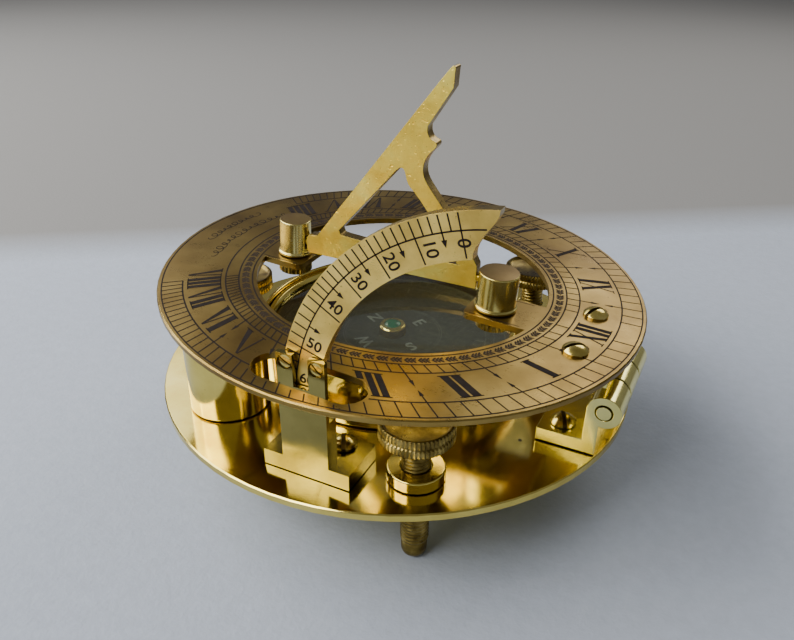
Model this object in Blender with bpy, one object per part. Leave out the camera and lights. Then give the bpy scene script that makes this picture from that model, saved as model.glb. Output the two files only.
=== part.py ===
"""Brass sundial compass: a hinged universal dial over a compass, on a three-footed base.

Frame: metres, +Z up.  The origin is on the base disc's axis, at the height of the foot tips.
+X runs from the disc's centre to the dial's hinge, and the latitude arc stands at -Y.
The dial rests on its pillar a few degrees up from level, turned about its hinge.
"""
import math

import bmesh
import bpy
from mathutils import Matrix, Vector

# ---- driving dimensions -------------------------------------------------------------
GAP = 0.0003                      # clearance between pieces that touch

BASE_RADIUS = 0.0635
BASE_THICKNESS = 0.0021
BASE_TOP = 0.0230                 # above the surface that the feet stand on
NOON_Y = -0.0040                  # the dial's noon line lies a little nearer the arc
EDGE = 0.0003                     # broken edge on the plates

FOOT_CIRCLE = 0.0508              # the three levelling screws
FOOT_AZIMUTHS = (-59.0, 61.0, 181.0)
STUD_RADIUS = 0.0034
TIP_RADIUS = 0.0031
TIP_HEIGHT = 0.0048
BUSH_RADIUS = 0.0068
BUSH_HEIGHT = 0.0030
BUSH_NECK_RADIUS = 0.0050
HEAD_RADIUS = 0.0086
HEAD_HEIGHT = 0.0045
HEAD_BOTTOM = 0.0112              # above the base's top
HEAD_DISH_RADIUS = 0.0078
HEAD_DISH_DEPTH = 0.0009
HEAD_NECK_RADIUS = 0.0022

PILLAR_X = -0.0290
PILLAR_Y = -0.0380
PILLAR_RADIUS = 0.0102
PILLAR_HEIGHT = 0.0256

COMPASS_X = -0.0020
COMPASS_Y = 0.0010
BOWL_RADIUS = 0.0360
BOWL_TOP = 0.0145                 # above the base's top
BOWL_FLOOR = 0.0012
BOWL_LEDGE = 0.0103               # the glass sits on this step
BOWL_INNER_RADIUS = 0.0332
BOWL_REBATE_RADIUS = 0.0348
GLASS_THICKNESS = 0.0012
GLASS_RING_INNER = 0.0326
GLASS_RING_HEIGHT = 0.0015
CARD_RADIUS = 0.0315
CARD_HEIGHT = 0.0066
CARD_THICKNESS = 0.0005
HUB_RADIUS = 0.0037
HUB_NECK_RADIUS = 0.0020
HUB_HEIGHT = 0.0020
HUB_BORE_RADIUS = 0.0011
JEWEL_RADIUS = 0.0024
MAGNET_SIZE = (0.0180, 0.0025, 0.0016)
MAGNET_OFFSET = 0.0040
BOWL_SCREW_CIRCLE = 0.0250

HINGE_X = 0.0610
HINGE_Z = BASE_TOP + 0.0124
KNUCKLE_RADIUS = 0.0041
HINGE_PIN_RADIUS = 0.00175
HINGE_LENGTH = 0.0290
HINGE_WALL = 0.0033
HINGE_FOOT_LENGTH = 0.0142
HINGE_FOOT_HEIGHT = 0.0035
HINGE_SCREW_SPREAD = 0.0097       # either side of the noon line
HINGE_SCREW_X = 0.0512
FLANGE_START_X = 0.0445
FLANGE_THICKNESS = 0.0025

REST_TILT = math.radians(3.07)
DIAL_RADIUS = 0.0627
DIAL_X = 0.0013                    # the hour ring sits a little towards its hinge and the arc
DIAL_Y = -0.0007
DIAL_THICKNESS = 0.0016
DIAL_TOP = BASE_TOP + 0.0233      # with the dial laid level
DIAL_OPENING = 0.0382
TAB_HALF_WIDTH = 0.0068
TAB_CORNER = 0.0016
SOUTH_TAB_END = -0.0246
NORTH_TAB_END = 0.0220
SLOT_X = 0.0050                   # the arc and its post pass through this slot
SLOT_Y = -0.0539
SLOT_LENGTH = 0.0274
SLOT_WIDTH = 0.0100

SOUTH_KNOB_X = -0.0302
SOUTH_KNOB_RADIUS = 0.0042
NORTH_KNOB_X = 0.0282
NORTH_KNOB_RADIUS = 0.0050
KNOB_HEIGHT = 0.0095
KNOB_FOOT = 0.0006
KNOB_STUD_RADIUS = 0.0017
NUT_HEIGHT = 0.0032
NUT_RADIUS = 0.0045

GNOMON_Z = BASE_TOP + 0.0322      # axis of the two pivot pins, level at rest
GNOMON_THICKNESS = 0.0030
GNOMON_PIN_RADIUS = 0.0011
GNOMON_PIN_LENGTH = 0.0026
GNOMON_SOUTH_END = -0.0247
GNOMON_NORTH_END = 0.0238

ARC_X = 0.0500                    # centre of the latitude arc
ARC_Z = BASE_TOP + 0.0188
ARC_OUTER = 0.0514
ARC_INNER = 0.0425
ARC_THICKNESS = 0.0025
ARC_FRONT_Y = -0.0537
ARC_START = math.radians(-2.0)
ARC_END_INNER = math.radians(76.7)
ARC_END_OUTER = math.radians(83.9)

POST_X = 0.0045
POST_FRONT_Y = -0.0552
POST_DEPTH = 0.0040
POST_WIDTH = 0.0118
POST_TOP = 0.0314                 # above the base's top
POST_SLOT_BOTTOM = 0.0160
POST_FOOT_WIDTH = 0.0220
POST_FOOT_DEPTH = 0.0127
POST_FOOT_HEIGHT = 0.0040
WINDOW_WIDTH = 0.0038
WINDOW_BOTTOM = 0.0237
CLAMP_SPREAD = 0.0038
CLAMP_Z = 0.0294
CLAMP_HEAD_RADIUS = 0.0015
CLAMP_SHANK_RADIUS = 0.0008
POST_SCREW_SPREAD = 0.0045
POST_SCREW_Y = -0.0459

SCREW_HEAD_RADIUS = 0.0031
SCREW_HEAD_HEIGHT = 0.0019
SCREW_SHANK_RADIUS = 0.0013
SCREW_SLOT = 0.0007

LARGE_STEPS = 72                  # sides of the large round pieces
SMALL_STEPS = 24                  # sides of the small ones


# ---- helpers ------------------------------------------------------------------------
def clear_scene():
    for item in list(bpy.data.objects):
        bpy.data.objects.remove(item, do_unlink=True)


def make_material(name, color, roughness, metallic=1.0, alpha=1.0):
    material = bpy.data.materials.new(name)
    material.use_nodes = True
    shader = material.node_tree.nodes["Principled BSDF"]
    shader.inputs["Base Color"].default_value = (*color, 1.0)
    shader.inputs["Roughness"].default_value = roughness
    shader.inputs["Metallic"].default_value = metallic
    shader.inputs["Alpha"].default_value = alpha
    return material


def make_object(name, bm, material=None, location=(0.0, 0.0, 0.0), parent=None):
    """Turn a bmesh into a named object, faces outwards and round faces smooth."""
    bmesh.ops.recalc_face_normals(bm, faces=bm.faces)
    mesh = bpy.data.meshes.new(name)
    bm.to_mesh(mesh)
    bm.free()
    mesh.shade_smooth()
    mesh.set_sharp_from_angle(angle=math.radians(30.0))
    piece = bpy.data.objects.new(name, mesh)
    piece.location = location
    bpy.context.scene.collection.objects.link(piece)
    if material is not None:
        mesh.materials.append(material)
    if parent is not None:
        piece.parent = parent
    return piece


def make_empty(name, location, parent=None):
    empty = bpy.data.objects.new(name, None)
    empty.location = location
    empty.parent = parent
    bpy.context.scene.collection.objects.link(empty)
    return empty


def cut(piece, bm, name, parent=None, location=(0.0, 0.0, 0.0)):
    """Take the solids in bm out of a piece."""
    cutter = make_object(name, bm, location=location, parent=parent)
    cutter.hide_render = True
    cutter.display_type = "WIRE"
    modifier = piece.modifiers.new(name, "BOOLEAN")
    modifier.operation = "DIFFERENCE"
    modifier.solver = "EXACT"
    modifier.object = cutter


def turned(profile, steps, closed=False, center=(0.0, 0.0, 0.0)):
    """Spin a profile of (radius, height) points about +Z; a closed one makes a ring."""
    bm = bmesh.new()
    add_turned(bm, profile, steps, closed, center)
    return bm


def add_turned(bm, profile, steps, closed=False, center=(0.0, 0.0, 0.0)):
    own = bmesh.new()
    points = [own.verts.new((radius, 0.0, height)) for radius, height in profile]
    edges = [own.edges.new(pair) for pair in zip(points, points[1:])]
    if closed:
        edges.append(own.edges.new((points[-1], points[0])))
    bmesh.ops.spin(
        own,
        geom=points + edges,
        cent=(0.0, 0.0, 0.0),
        axis=(0.0, 0.0, 1.0),
        angle=math.tau,
        steps=steps,
        use_merge=True,
    )
    bmesh.ops.remove_doubles(own, verts=own.verts, dist=1e-6)
    bmesh.ops.translate(own, verts=own.verts, vec=center)
    bmesh.ops.recalc_face_normals(own, faces=own.faces)
    append(bm, own)


def append(bm, other):
    """Copy the solids of another bmesh into bm."""
    mesh = bpy.data.meshes.new("work")
    other.to_mesh(mesh)
    other.free()
    bm.from_mesh(mesh)
    bpy.data.meshes.remove(mesh)


def add_rod(bm, radius, start, end, steps=SMALL_STEPS):
    """A closed cylinder between two points."""
    start = Vector(start)
    end = Vector(end)
    length = (end - start).length
    turn = (end - start).to_track_quat("Z", "Y").to_matrix().to_4x4()
    place = Matrix.Translation((start + end) / 2.0) @ turn
    bmesh.ops.create_cone(
        bm, cap_ends=True, segments=steps, radius1=radius, radius2=radius, depth=length, matrix=place
    )


def add_box(bm, low, high):
    low = Vector(low)
    high = Vector(high)
    place = Matrix.Translation((low + high) / 2.0) @ Matrix.Diagonal((*(high - low), 1.0))
    bmesh.ops.create_cube(bm, size=1.0, matrix=place)


def add_plate(bm, outline, start, depth, upright=False):
    """Extrude an outline: along +Z when it lies flat, along +Y when it stands in XZ."""
    if upright:
        points = [(x, start, z) for x, z in outline]
        step = (0.0, depth, 0.0)
    else:
        points = [(x, y, start) for x, y in outline]
        step = (0.0, 0.0, depth)
    own = bmesh.new()
    face = own.faces.new([own.verts.new(point) for point in points])
    grown = bmesh.ops.extrude_face_region(own, geom=[face])
    moved = [item for item in grown["geom"] if isinstance(item, bmesh.types.BMVert)]
    bmesh.ops.translate(own, verts=moved, vec=step)
    bmesh.ops.recalc_face_normals(own, faces=own.faces)
    append(bm, own)


def arc_points(center, radius, start, end, steps):
    """Points on a circle from one angle to another, in radians."""
    turn = [start + (end - start) * step / steps for step in range(steps + 1)]
    return [(center[0] + radius * math.cos(a), center[1] + radius * math.sin(a)) for a in turn]


def smooth_run(points, steps=3):
    """A curve through the points, rounded off between them (Catmull-Rom)."""
    padded = [points[0], *points, points[-1]]
    run = []
    for before, first, second, after in zip(padded, padded[1:], padded[2:], padded[3:]):
        for step in range(steps):
            t = step / steps
            run.append(tuple(
                0.5 * (2.0 * b + (c - a) * t + (2.0 * a - 5.0 * b + 4.0 * c - d) * t ** 2
                       + (3.0 * b - a - 3.0 * c + d) * t ** 3)
                for a, b, c, d in zip(before, first, second, after)
            ))
    run.append(points[-1])
    return run


def on_circle(radius, azimuth):
    turn = math.radians(azimuth)
    return radius * math.cos(turn), radius * math.sin(turn)


def add_screw(bm, slots, place, head_radius, head_height, shank_radius, shank_length, turn=0.0):
    """A slotted screw with its head above the place's origin and its shank below."""
    dome = 0.35 * head_height
    profile = [
        (0.0, head_height),
        (0.55 * head_radius, head_height - 0.25 * dome),
        (0.88 * head_radius, head_height - dome),
        (head_radius, 0.40 * head_height),
        (head_radius, 0.0),
        (shank_radius, 0.0),
        (shank_radius, -shank_length),
        (0.0, -shank_length),
    ]
    own = turned(profile, SMALL_STEPS // 2)
    bmesh.ops.transform(own, matrix=place, verts=own.verts)
    append(bm, own)
    slot = bmesh.new()
    half = (1.2 * head_radius, SCREW_SLOT / 2.0)
    add_box(slot, (-half[0], -half[1], 0.5 * head_height), (half[0], half[1], 1.5 * head_height))
    rotate = Matrix.Rotation(math.radians(turn), 4, "Z")
    bmesh.ops.transform(slot, matrix=place @ rotate, verts=slot.verts)
    append(slots, slot)


def make_screws(name, places, material, head=(SCREW_HEAD_RADIUS, SCREW_HEAD_HEIGHT),
                shank=(SCREW_SHANK_RADIUS, 0.005), turns=(20.0, 75.0, 130.0), parent=None):
    """Identical slotted screws, each its own numbered object."""
    for number, (place, turn) in enumerate(zip(places, turns), start=1):
        bm = bmesh.new()
        slots = bmesh.new()
        add_screw(bm, slots, place, *head, *shank, turn)
        own_name = name if len(places) == 1 else f"{name}_{number}"
        piece = make_object(own_name, bm, material, parent=parent)
        cut(piece, slots, own_name + "_slot", parent=parent)


# ---- base, feet and pillar ----------------------------------------------------------
def hinge_screw_points():
    return [(HINGE_SCREW_X, NOON_Y + side * HINGE_SCREW_SPREAD) for side in (-1, 1)]


def post_screw_points():
    return [(POST_X + side * POST_SCREW_SPREAD, POST_SCREW_Y) for side in (-1, 1)]


def bowl_screw_points():
    places = [on_circle(BOWL_SCREW_CIRCLE, azimuth) for azimuth in (30.0, 150.0, 270.0)]
    return [(COMPASS_X + x, COMPASS_Y + y) for x, y in places]


def foot_points():
    return [on_circle(FOOT_CIRCLE, azimuth) for azimuth in FOOT_AZIMUTHS]


def add_holes(bm, points, radius, low, high):
    for x, y in points:
        add_rod(bm, radius, (x, y, low), (x, y, high), SMALL_STEPS // 2)


def build_base_plate(material):
    low = BASE_TOP - BASE_THICKNESS
    profile = [
        (0.0, BASE_TOP),
        (BASE_RADIUS - EDGE, BASE_TOP),
        (BASE_RADIUS, BASE_TOP - EDGE),
        (BASE_RADIUS, low + EDGE),
        (BASE_RADIUS - EDGE, low),
        (0.0, low),
    ]
    piece = make_object("base_plate", turned(profile, LARGE_STEPS), material)
    holes = bmesh.new()
    span = (low - 0.001, BASE_TOP + 0.001)
    screws = hinge_screw_points() + post_screw_points() + bowl_screw_points()
    screws.append((PILLAR_X, PILLAR_Y))
    add_holes(holes, foot_points(), BUSH_NECK_RADIUS + GAP, *span)
    add_holes(holes, screws, SCREW_SHANK_RADIUS + GAP, *span)
    cut(piece, holes, "base_plate_holes")


def build_foot_bush(number, point, material):
    """Threaded bush, its neck riveted into the base."""
    bore = STUD_RADIUS + GAP
    top = GAP + BUSH_HEIGHT
    profile = [
        (bore, top),
        (BUSH_RADIUS - EDGE, top),
        (BUSH_RADIUS, top - EDGE),
        (BUSH_RADIUS, GAP),
        (BUSH_NECK_RADIUS, GAP),
        (BUSH_NECK_RADIUS, -BASE_THICKNESS),
        (bore, -BASE_THICKNESS),
    ]
    bm = turned(profile, SMALL_STEPS, closed=True)
    make_object(f"foot_bush_{number}", bm, material, location=(*point, BASE_TOP))


def build_levelling_screw(number, axle, material):
    """Plain stud with a rounded foot tip and a neck for the head; its origin is its axis."""
    shoulder = HEAD_BOTTOM - GAP
    neck_top = HEAD_BOTTOM + HEAD_HEIGHT - HEAD_DISH_DEPTH - 0.0007
    tip_top = TIP_HEIGHT - BASE_TOP
    fillet = 0.0019
    rounding = arc_points((TIP_RADIUS - fillet, fillet - BASE_TOP), fillet, 0.0, -math.pi / 2.0, 5)
    profile = [
        (0.0, neck_top),
        (HEAD_NECK_RADIUS, neck_top),
        (HEAD_NECK_RADIUS, shoulder),
        (STUD_RADIUS, shoulder),
        (STUD_RADIUS, tip_top + 0.0012),
        (TIP_RADIUS - 0.0005, tip_top + 0.0006),
        (TIP_RADIUS - 0.0005, tip_top),
        (TIP_RADIUS, tip_top - 0.0004),
        *rounding,
        (0.0, -BASE_TOP),
    ]
    make_object(f"levelling_screw_{number}", turned(profile, SMALL_STEPS), material, parent=axle)


def build_thumb_head(number, axle, material):
    """Dished head with a waist between its two gripping bands."""
    top = HEAD_BOTTOM + HEAD_HEIGHT
    bore = HEAD_NECK_RADIUS + GAP
    roof = top - HEAD_DISH_DEPTH - 0.0004
    middle = HEAD_BOTTOM + HEAD_HEIGHT / 2.0
    waist = 0.0004
    profile = [
        (0.0, top - HEAD_DISH_DEPTH),
        (HEAD_DISH_RADIUS - 0.0003, top - HEAD_DISH_DEPTH),
        (HEAD_DISH_RADIUS, top),
        (HEAD_RADIUS - EDGE, top),
        (HEAD_RADIUS, top - EDGE),
        (HEAD_RADIUS, middle + waist),
        (HEAD_RADIUS - waist, middle + waist / 2.0),
        (HEAD_RADIUS - waist, middle - waist / 2.0),
        (HEAD_RADIUS, middle - waist),
        (HEAD_RADIUS, HEAD_BOTTOM + EDGE),
        (HEAD_RADIUS - EDGE, HEAD_BOTTOM),
        (bore, HEAD_BOTTOM),
        (bore, roof),
        (0.0, roof),
    ]
    make_object(f"thumb_head_{number}", turned(profile, SMALL_STEPS), material, parent=axle)


def build_feet(brass, dull):
    for number, point in enumerate(foot_points(), start=1):
        build_foot_bush(number, point, brass)
        axle = make_empty(f"foot_axle_{number}", (*point, BASE_TOP))
        build_levelling_screw(number, axle, dull)
        build_thumb_head(number, axle, dull)


def under_screw(point):
    """Place of a screw whose head sits under the base, shank upwards."""
    seat = BASE_TOP - BASE_THICKNESS - GAP
    return Matrix.Translation((*point, seat)) @ Matrix.Rotation(math.pi, 4, "X")


def build_pillar(material, screw_material):
    """Round pillar that the dial comes down on, held by a screw from below."""
    top = PILLAR_HEIGHT
    profile = [
        (0.0, top),
        (PILLAR_RADIUS - EDGE, top),
        (PILLAR_RADIUS, top - EDGE),
        (PILLAR_RADIUS, GAP + EDGE),
        (PILLAR_RADIUS - EDGE, GAP),
        (0.0, GAP),
    ]
    place = (PILLAR_X, PILLAR_Y, BASE_TOP)
    piece = make_object("dial_rest_pillar", turned(profile, SMALL_STEPS * 3 // 2), material, place)
    hole = bmesh.new()
    add_holes(hole, [(PILLAR_X, PILLAR_Y)], SCREW_SHANK_RADIUS + GAP, BASE_TOP - 0.001, BASE_TOP + 0.008)
    cut(piece, hole, "dial_rest_pillar_hole")
    shank = (SCREW_SHANK_RADIUS, BASE_THICKNESS + GAP + 0.0070)
    make_screws("pillar_screw", [under_screw((PILLAR_X, PILLAR_Y))], screw_material, shank=shank)


# ---- compass ------------------------------------------------------------------------
def build_compass_bowl(material, screw_material):
    """Turned bowl with a step for the glass."""
    floor = GAP + BOWL_FLOOR
    profile = [
        (0.0, GAP),
        (BOWL_RADIUS - EDGE, GAP),
        (BOWL_RADIUS, GAP + EDGE),
        (BOWL_RADIUS, BOWL_TOP - EDGE),
        (BOWL_RADIUS - EDGE, BOWL_TOP),
        (BOWL_REBATE_RADIUS, BOWL_TOP),
        (BOWL_REBATE_RADIUS, BOWL_LEDGE),
        (BOWL_INNER_RADIUS, BOWL_LEDGE),
        (BOWL_INNER_RADIUS, floor),
        (0.0, floor),
    ]
    bowl_steps = LARGE_STEPS * 3 // 4
    place = (COMPASS_X, COMPASS_Y, BASE_TOP)
    piece = make_object("compass_bowl", turned(profile, bowl_steps), material, place)
    holes = bmesh.new()
    add_holes(holes, bowl_screw_points(), SCREW_SHANK_RADIUS + GAP, BASE_TOP - 0.001, BASE_TOP + 0.003)
    cut(piece, holes, "compass_bowl_holes")
    shank = (SCREW_SHANK_RADIUS, BASE_THICKNESS + GAP + floor)
    places = [under_screw(point) for point in bowl_screw_points()]
    make_screws("bowl_screw", places, screw_material, shank=shank)


def build_compass_glass(glass, brass):
    low = BOWL_LEDGE + GAP
    high = low + GLASS_THICKNESS
    radius = BOWL_REBATE_RADIUS - GAP
    place = (COMPASS_X, COMPASS_Y, BASE_TOP)
    disc = [(0.0, high), (radius, high), (radius, low), (0.0, low)]
    make_object("compass_glass", turned(disc, LARGE_STEPS * 3 // 4), glass, place)
    ring_low = high + GAP
    ring = [
        (GLASS_RING_INNER, ring_low + GLASS_RING_HEIGHT / 2.0),
        (radius, ring_low + GLASS_RING_HEIGHT),
        (radius, ring_low),
        (GLASS_RING_INNER, ring_low),
    ]
    ring_mesh = turned(ring, LARGE_STEPS * 3 // 4, closed=True)
    make_object("glass_ring", ring_mesh, brass, place)


def build_compass_works(card, magnet, brass, jewel, steel):
    """The turning card with its magnets, cap and jewel, on a fixed pointed pin."""
    spindle = make_empty("card_axis", (COMPASS_X, COMPASS_Y, BASE_TOP))
    card_top = CARD_HEIGHT + CARD_THICKNESS
    neck_hole = HUB_NECK_RADIUS + GAP
    disc = [
        (neck_hole, card_top),
        (CARD_RADIUS, card_top),
        (CARD_RADIUS, CARD_HEIGHT),
        (neck_hole, CARD_HEIGHT),
    ]
    make_object("compass_card", turned(disc, LARGE_STEPS // 2, closed=True), card, parent=spindle)

    length, width, height = MAGNET_SIZE
    top = CARD_HEIGHT - GAP
    for number, side in enumerate((-1, 1), start=1):
        bar = bmesh.new()
        y = side * MAGNET_OFFSET
        add_box(bar, (-length / 2.0, y - width / 2.0, top - height), (length / 2.0, y + width / 2.0, top))
        make_object(f"card_magnet_{number}", bar, magnet, parent=spindle)

    hub_low = card_top + GAP
    hub_high = hub_low + HUB_HEIGHT
    seat = hub_high - 0.0005
    crown = seat - 0.0006
    hub = [
        (0.0, seat),
        (JEWEL_RADIUS + GAP, seat),
        (JEWEL_RADIUS + GAP, hub_high),
        (HUB_RADIUS, hub_high - 0.0003),
        (HUB_RADIUS, hub_low),
        (HUB_NECK_RADIUS, hub_low),
        (HUB_NECK_RADIUS, CARD_HEIGHT - 0.0008),
        (HUB_BORE_RADIUS, CARD_HEIGHT - 0.0008),
        (HUB_BORE_RADIUS, crown - 0.0006),
        (0.0, crown),
    ]
    make_object("card_cap", turned(hub, SMALL_STEPS), brass, parent=spindle)

    stone_low = seat + GAP
    stone = [(0.0, stone_low + 0.0009)]
    stone += arc_points((JEWEL_RADIUS - 0.0009, stone_low), 0.0009, math.pi / 2.0, 0.0, 4)
    stone += [(0.0, stone_low)]
    make_object("cap_jewel", turned(stone, SMALL_STEPS), jewel, parent=spindle)

    foot = GAP + BOWL_FLOOR + GAP
    shaft = HUB_BORE_RADIUS - GAP
    point = crown - GAP
    pin = [
        (0.0, point),
        (shaft, point - 0.0015),
        (shaft, foot + 0.0012),
        (0.0025, foot + 0.0012),
        (0.0025, foot),
        (0.0, foot),
    ]
    place = (COMPASS_X, COMPASS_Y, BASE_TOP)
    make_object("pivot_pin", turned(pin, SMALL_STEPS // 2), steel, place)


# ---- post and latitude arc ----------------------------------------------------------
def clamp_points():
    return [POST_X + side * CLAMP_SPREAD for side in (-1, 1)]


def build_arc_post(material, screw_material):
    """T-shaped post: a foot on the base, a column with a slot for the arc, and a window."""
    half = POST_WIDTH / 2.0
    foot_half = POST_FOOT_WIDTH / 2.0
    low = BASE_TOP + GAP
    foot_top = low + POST_FOOT_HEIGHT
    top = BASE_TOP + POST_TOP
    back = POST_FRONT_Y + POST_DEPTH
    outline = [
        (POST_X - foot_half, low),
        (POST_X + foot_half, low),
        (POST_X + foot_half, foot_top),
        (POST_X + half, foot_top),
        (POST_X + half, top),
        (POST_X - half, top),
        (POST_X - half, foot_top),
        (POST_X - foot_half, foot_top),
    ]
    bm = bmesh.new()
    add_plate(bm, outline, POST_FRONT_Y, POST_FOOT_DEPTH, upright=True)
    piece = make_object("arc_post", bm, material)

    cutters = bmesh.new()
    clear = 0.001
    add_box(cutters, (POST_X - half - clear, back, foot_top),
            (POST_X + half + clear, POST_FRONT_Y + POST_FOOT_DEPTH + clear, top + clear))
    cut(piece, cutters, "arc_post_back")

    slot = bmesh.new()
    slot_back = ARC_FRONT_Y + ARC_THICKNESS + GAP
    add_box(slot, (POST_X - half - clear, ARC_FRONT_Y - GAP, BASE_TOP + POST_SLOT_BOTTOM),
            (POST_X + half + clear, slot_back, top + clear))
    cut(piece, slot, "arc_post_slot")

    window = bmesh.new()
    add_box(window, (POST_X - WINDOW_WIDTH / 2.0, POST_FRONT_Y - clear, BASE_TOP + WINDOW_BOTTOM),
            (POST_X + WINDOW_WIDTH / 2.0, ARC_FRONT_Y, top + clear))
    cut(piece, window, "arc_post_window")

    holes = bmesh.new()
    height = BASE_TOP + CLAMP_Z
    for x in clamp_points():
        add_rod(holes, CLAMP_HEAD_RADIUS + GAP, (x, POST_FRONT_Y - clear, height), (x, ARC_FRONT_Y, height), 16)
        add_rod(holes, CLAMP_SHANK_RADIUS + GAP, (x, slot_back - clear, height), (x, back + clear, height), 16)
    add_holes(holes, post_screw_points(), SCREW_SHANK_RADIUS + GAP, low - clear, foot_top + clear)
    cut(piece, holes, "arc_post_holes")

    places = [Matrix.Translation((*point, foot_top + GAP)) for point in post_screw_points()]
    shank = (SCREW_SHANK_RADIUS, POST_FOOT_HEIGHT + GAP + BASE_THICKNESS)
    make_screws("arc_post_screw", places, screw_material, shank=shank)


def build_latitude_arc(material, screw_material):
    """Ring sector whose upper end is an ogee; its lower end is clamped in the post."""
    steps = 36
    outer = arc_points((ARC_X, ARC_Z), ARC_OUTER, math.pi - ARC_START, math.pi - ARC_END_OUTER, steps)
    inner = arc_points((ARC_X, ARC_Z), ARC_INNER, math.pi - ARC_END_INNER, math.pi - ARC_START, steps)
    ogee = []
    for step in range(1, 8):
        share = 1.0 - step / 8.0
        eased = share * share * (3.0 - 2.0 * share)
        angle = ARC_END_INNER + (ARC_END_OUTER - ARC_END_INNER) * eased
        radius = ARC_INNER + (ARC_OUTER - ARC_INNER) * share
        ogee.append((ARC_X - radius * math.cos(angle), ARC_Z + radius * math.sin(angle)))
    bm = bmesh.new()
    add_plate(bm, outer + ogee + inner, ARC_FRONT_Y, ARC_THICKNESS, upright=True)
    piece = make_object("latitude_arc", bm, material)

    holes = bmesh.new()
    height = BASE_TOP + CLAMP_Z
    back = ARC_FRONT_Y + ARC_THICKNESS
    for x in clamp_points():
        add_rod(holes, CLAMP_SHANK_RADIUS + GAP, (x, ARC_FRONT_Y - 0.001, height), (x, back + 0.001, height), 16)
    cut(piece, holes, "latitude_arc_holes")

    head_height = 0.0010
    seat = ARC_FRONT_Y - GAP
    shank = (CLAMP_SHANK_RADIUS, POST_FRONT_Y + POST_DEPTH - seat)
    forward = Matrix.Rotation(math.pi / 2.0, 4, "X")
    places = [Matrix.Translation((x, seat, height)) @ forward for x in clamp_points()]
    make_screws("arc_clamp_screw", places, screw_material, head=(CLAMP_HEAD_RADIUS, head_height),
                shank=shank, turns=(40.0, 30.0))


# ---- hinge --------------------------------------------------------------------------
def hinge_third(index):
    """Start and end along Y of the first, second or third knuckle."""
    start = NOON_Y - HINGE_LENGTH / 2.0
    third = HINGE_LENGTH / 3.0
    return start + index * third, start + (index + 1) * third


def build_hinge_base_leaf(material, screw_material):
    """Foot, wall and two outer knuckles, fixed to the base."""
    low = BASE_TOP + GAP
    foot_top = low + HINGE_FOOT_HEIGHT
    wall_out = HINGE_X - KNUCKLE_RADIUS + HINGE_WALL
    meet = math.acos((wall_out - HINGE_X) / KNUCKLE_RADIUS)
    outline = [(wall_out - HINGE_FOOT_LENGTH, low), (wall_out, low)]
    outline += arc_points((HINGE_X, HINGE_Z), KNUCKLE_RADIUS, -meet, math.pi, 24)
    outline += [(HINGE_X - KNUCKLE_RADIUS, foot_top), (wall_out - HINGE_FOOT_LENGTH, foot_top)]
    start = NOON_Y - HINGE_LENGTH / 2.0
    bm = bmesh.new()
    add_plate(bm, outline, start, HINGE_LENGTH, upright=True)
    piece = make_object("hinge_base_leaf", bm, material)

    gap = bmesh.new()
    near, far = hinge_third(1)
    reach = KNUCKLE_RADIUS + 0.0006
    add_box(gap, (HINGE_X - reach, near - GAP, HINGE_Z - reach), (HINGE_X + reach, far + GAP, HINGE_Z + reach))
    cut(piece, gap, "hinge_base_leaf_gap")

    holes = bmesh.new()
    add_rod(holes, HINGE_PIN_RADIUS + GAP, (HINGE_X, start - 0.001, HINGE_Z),
            (HINGE_X, start + HINGE_LENGTH + 0.001, HINGE_Z))
    add_holes(holes, hinge_screw_points(), SCREW_SHANK_RADIUS + GAP, low - 0.001, foot_top + 0.001)
    cut(piece, holes, "hinge_base_leaf_holes")

    places = [Matrix.Translation((*point, foot_top + GAP)) for point in hinge_screw_points()]
    shank = (SCREW_SHANK_RADIUS, HINGE_FOOT_HEIGHT + GAP + BASE_THICKNESS)
    make_screws("hinge_base_screw", places, screw_material, shank=shank)


def build_hinge_pin(material):
    bm = bmesh.new()
    half = HINGE_LENGTH / 2.0 + 0.0002
    add_rod(bm, HINGE_PIN_RADIUS, (HINGE_X, NOON_Y - half, HINGE_Z), (HINGE_X, NOON_Y + half, HINGE_Z))
    make_object("hinge_pin", bm, material)


def level_to_pivot(x, z):
    """A place on the level dial, seen from the hinge axis."""
    return x - HINGE_X, z - HINGE_Z


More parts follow.
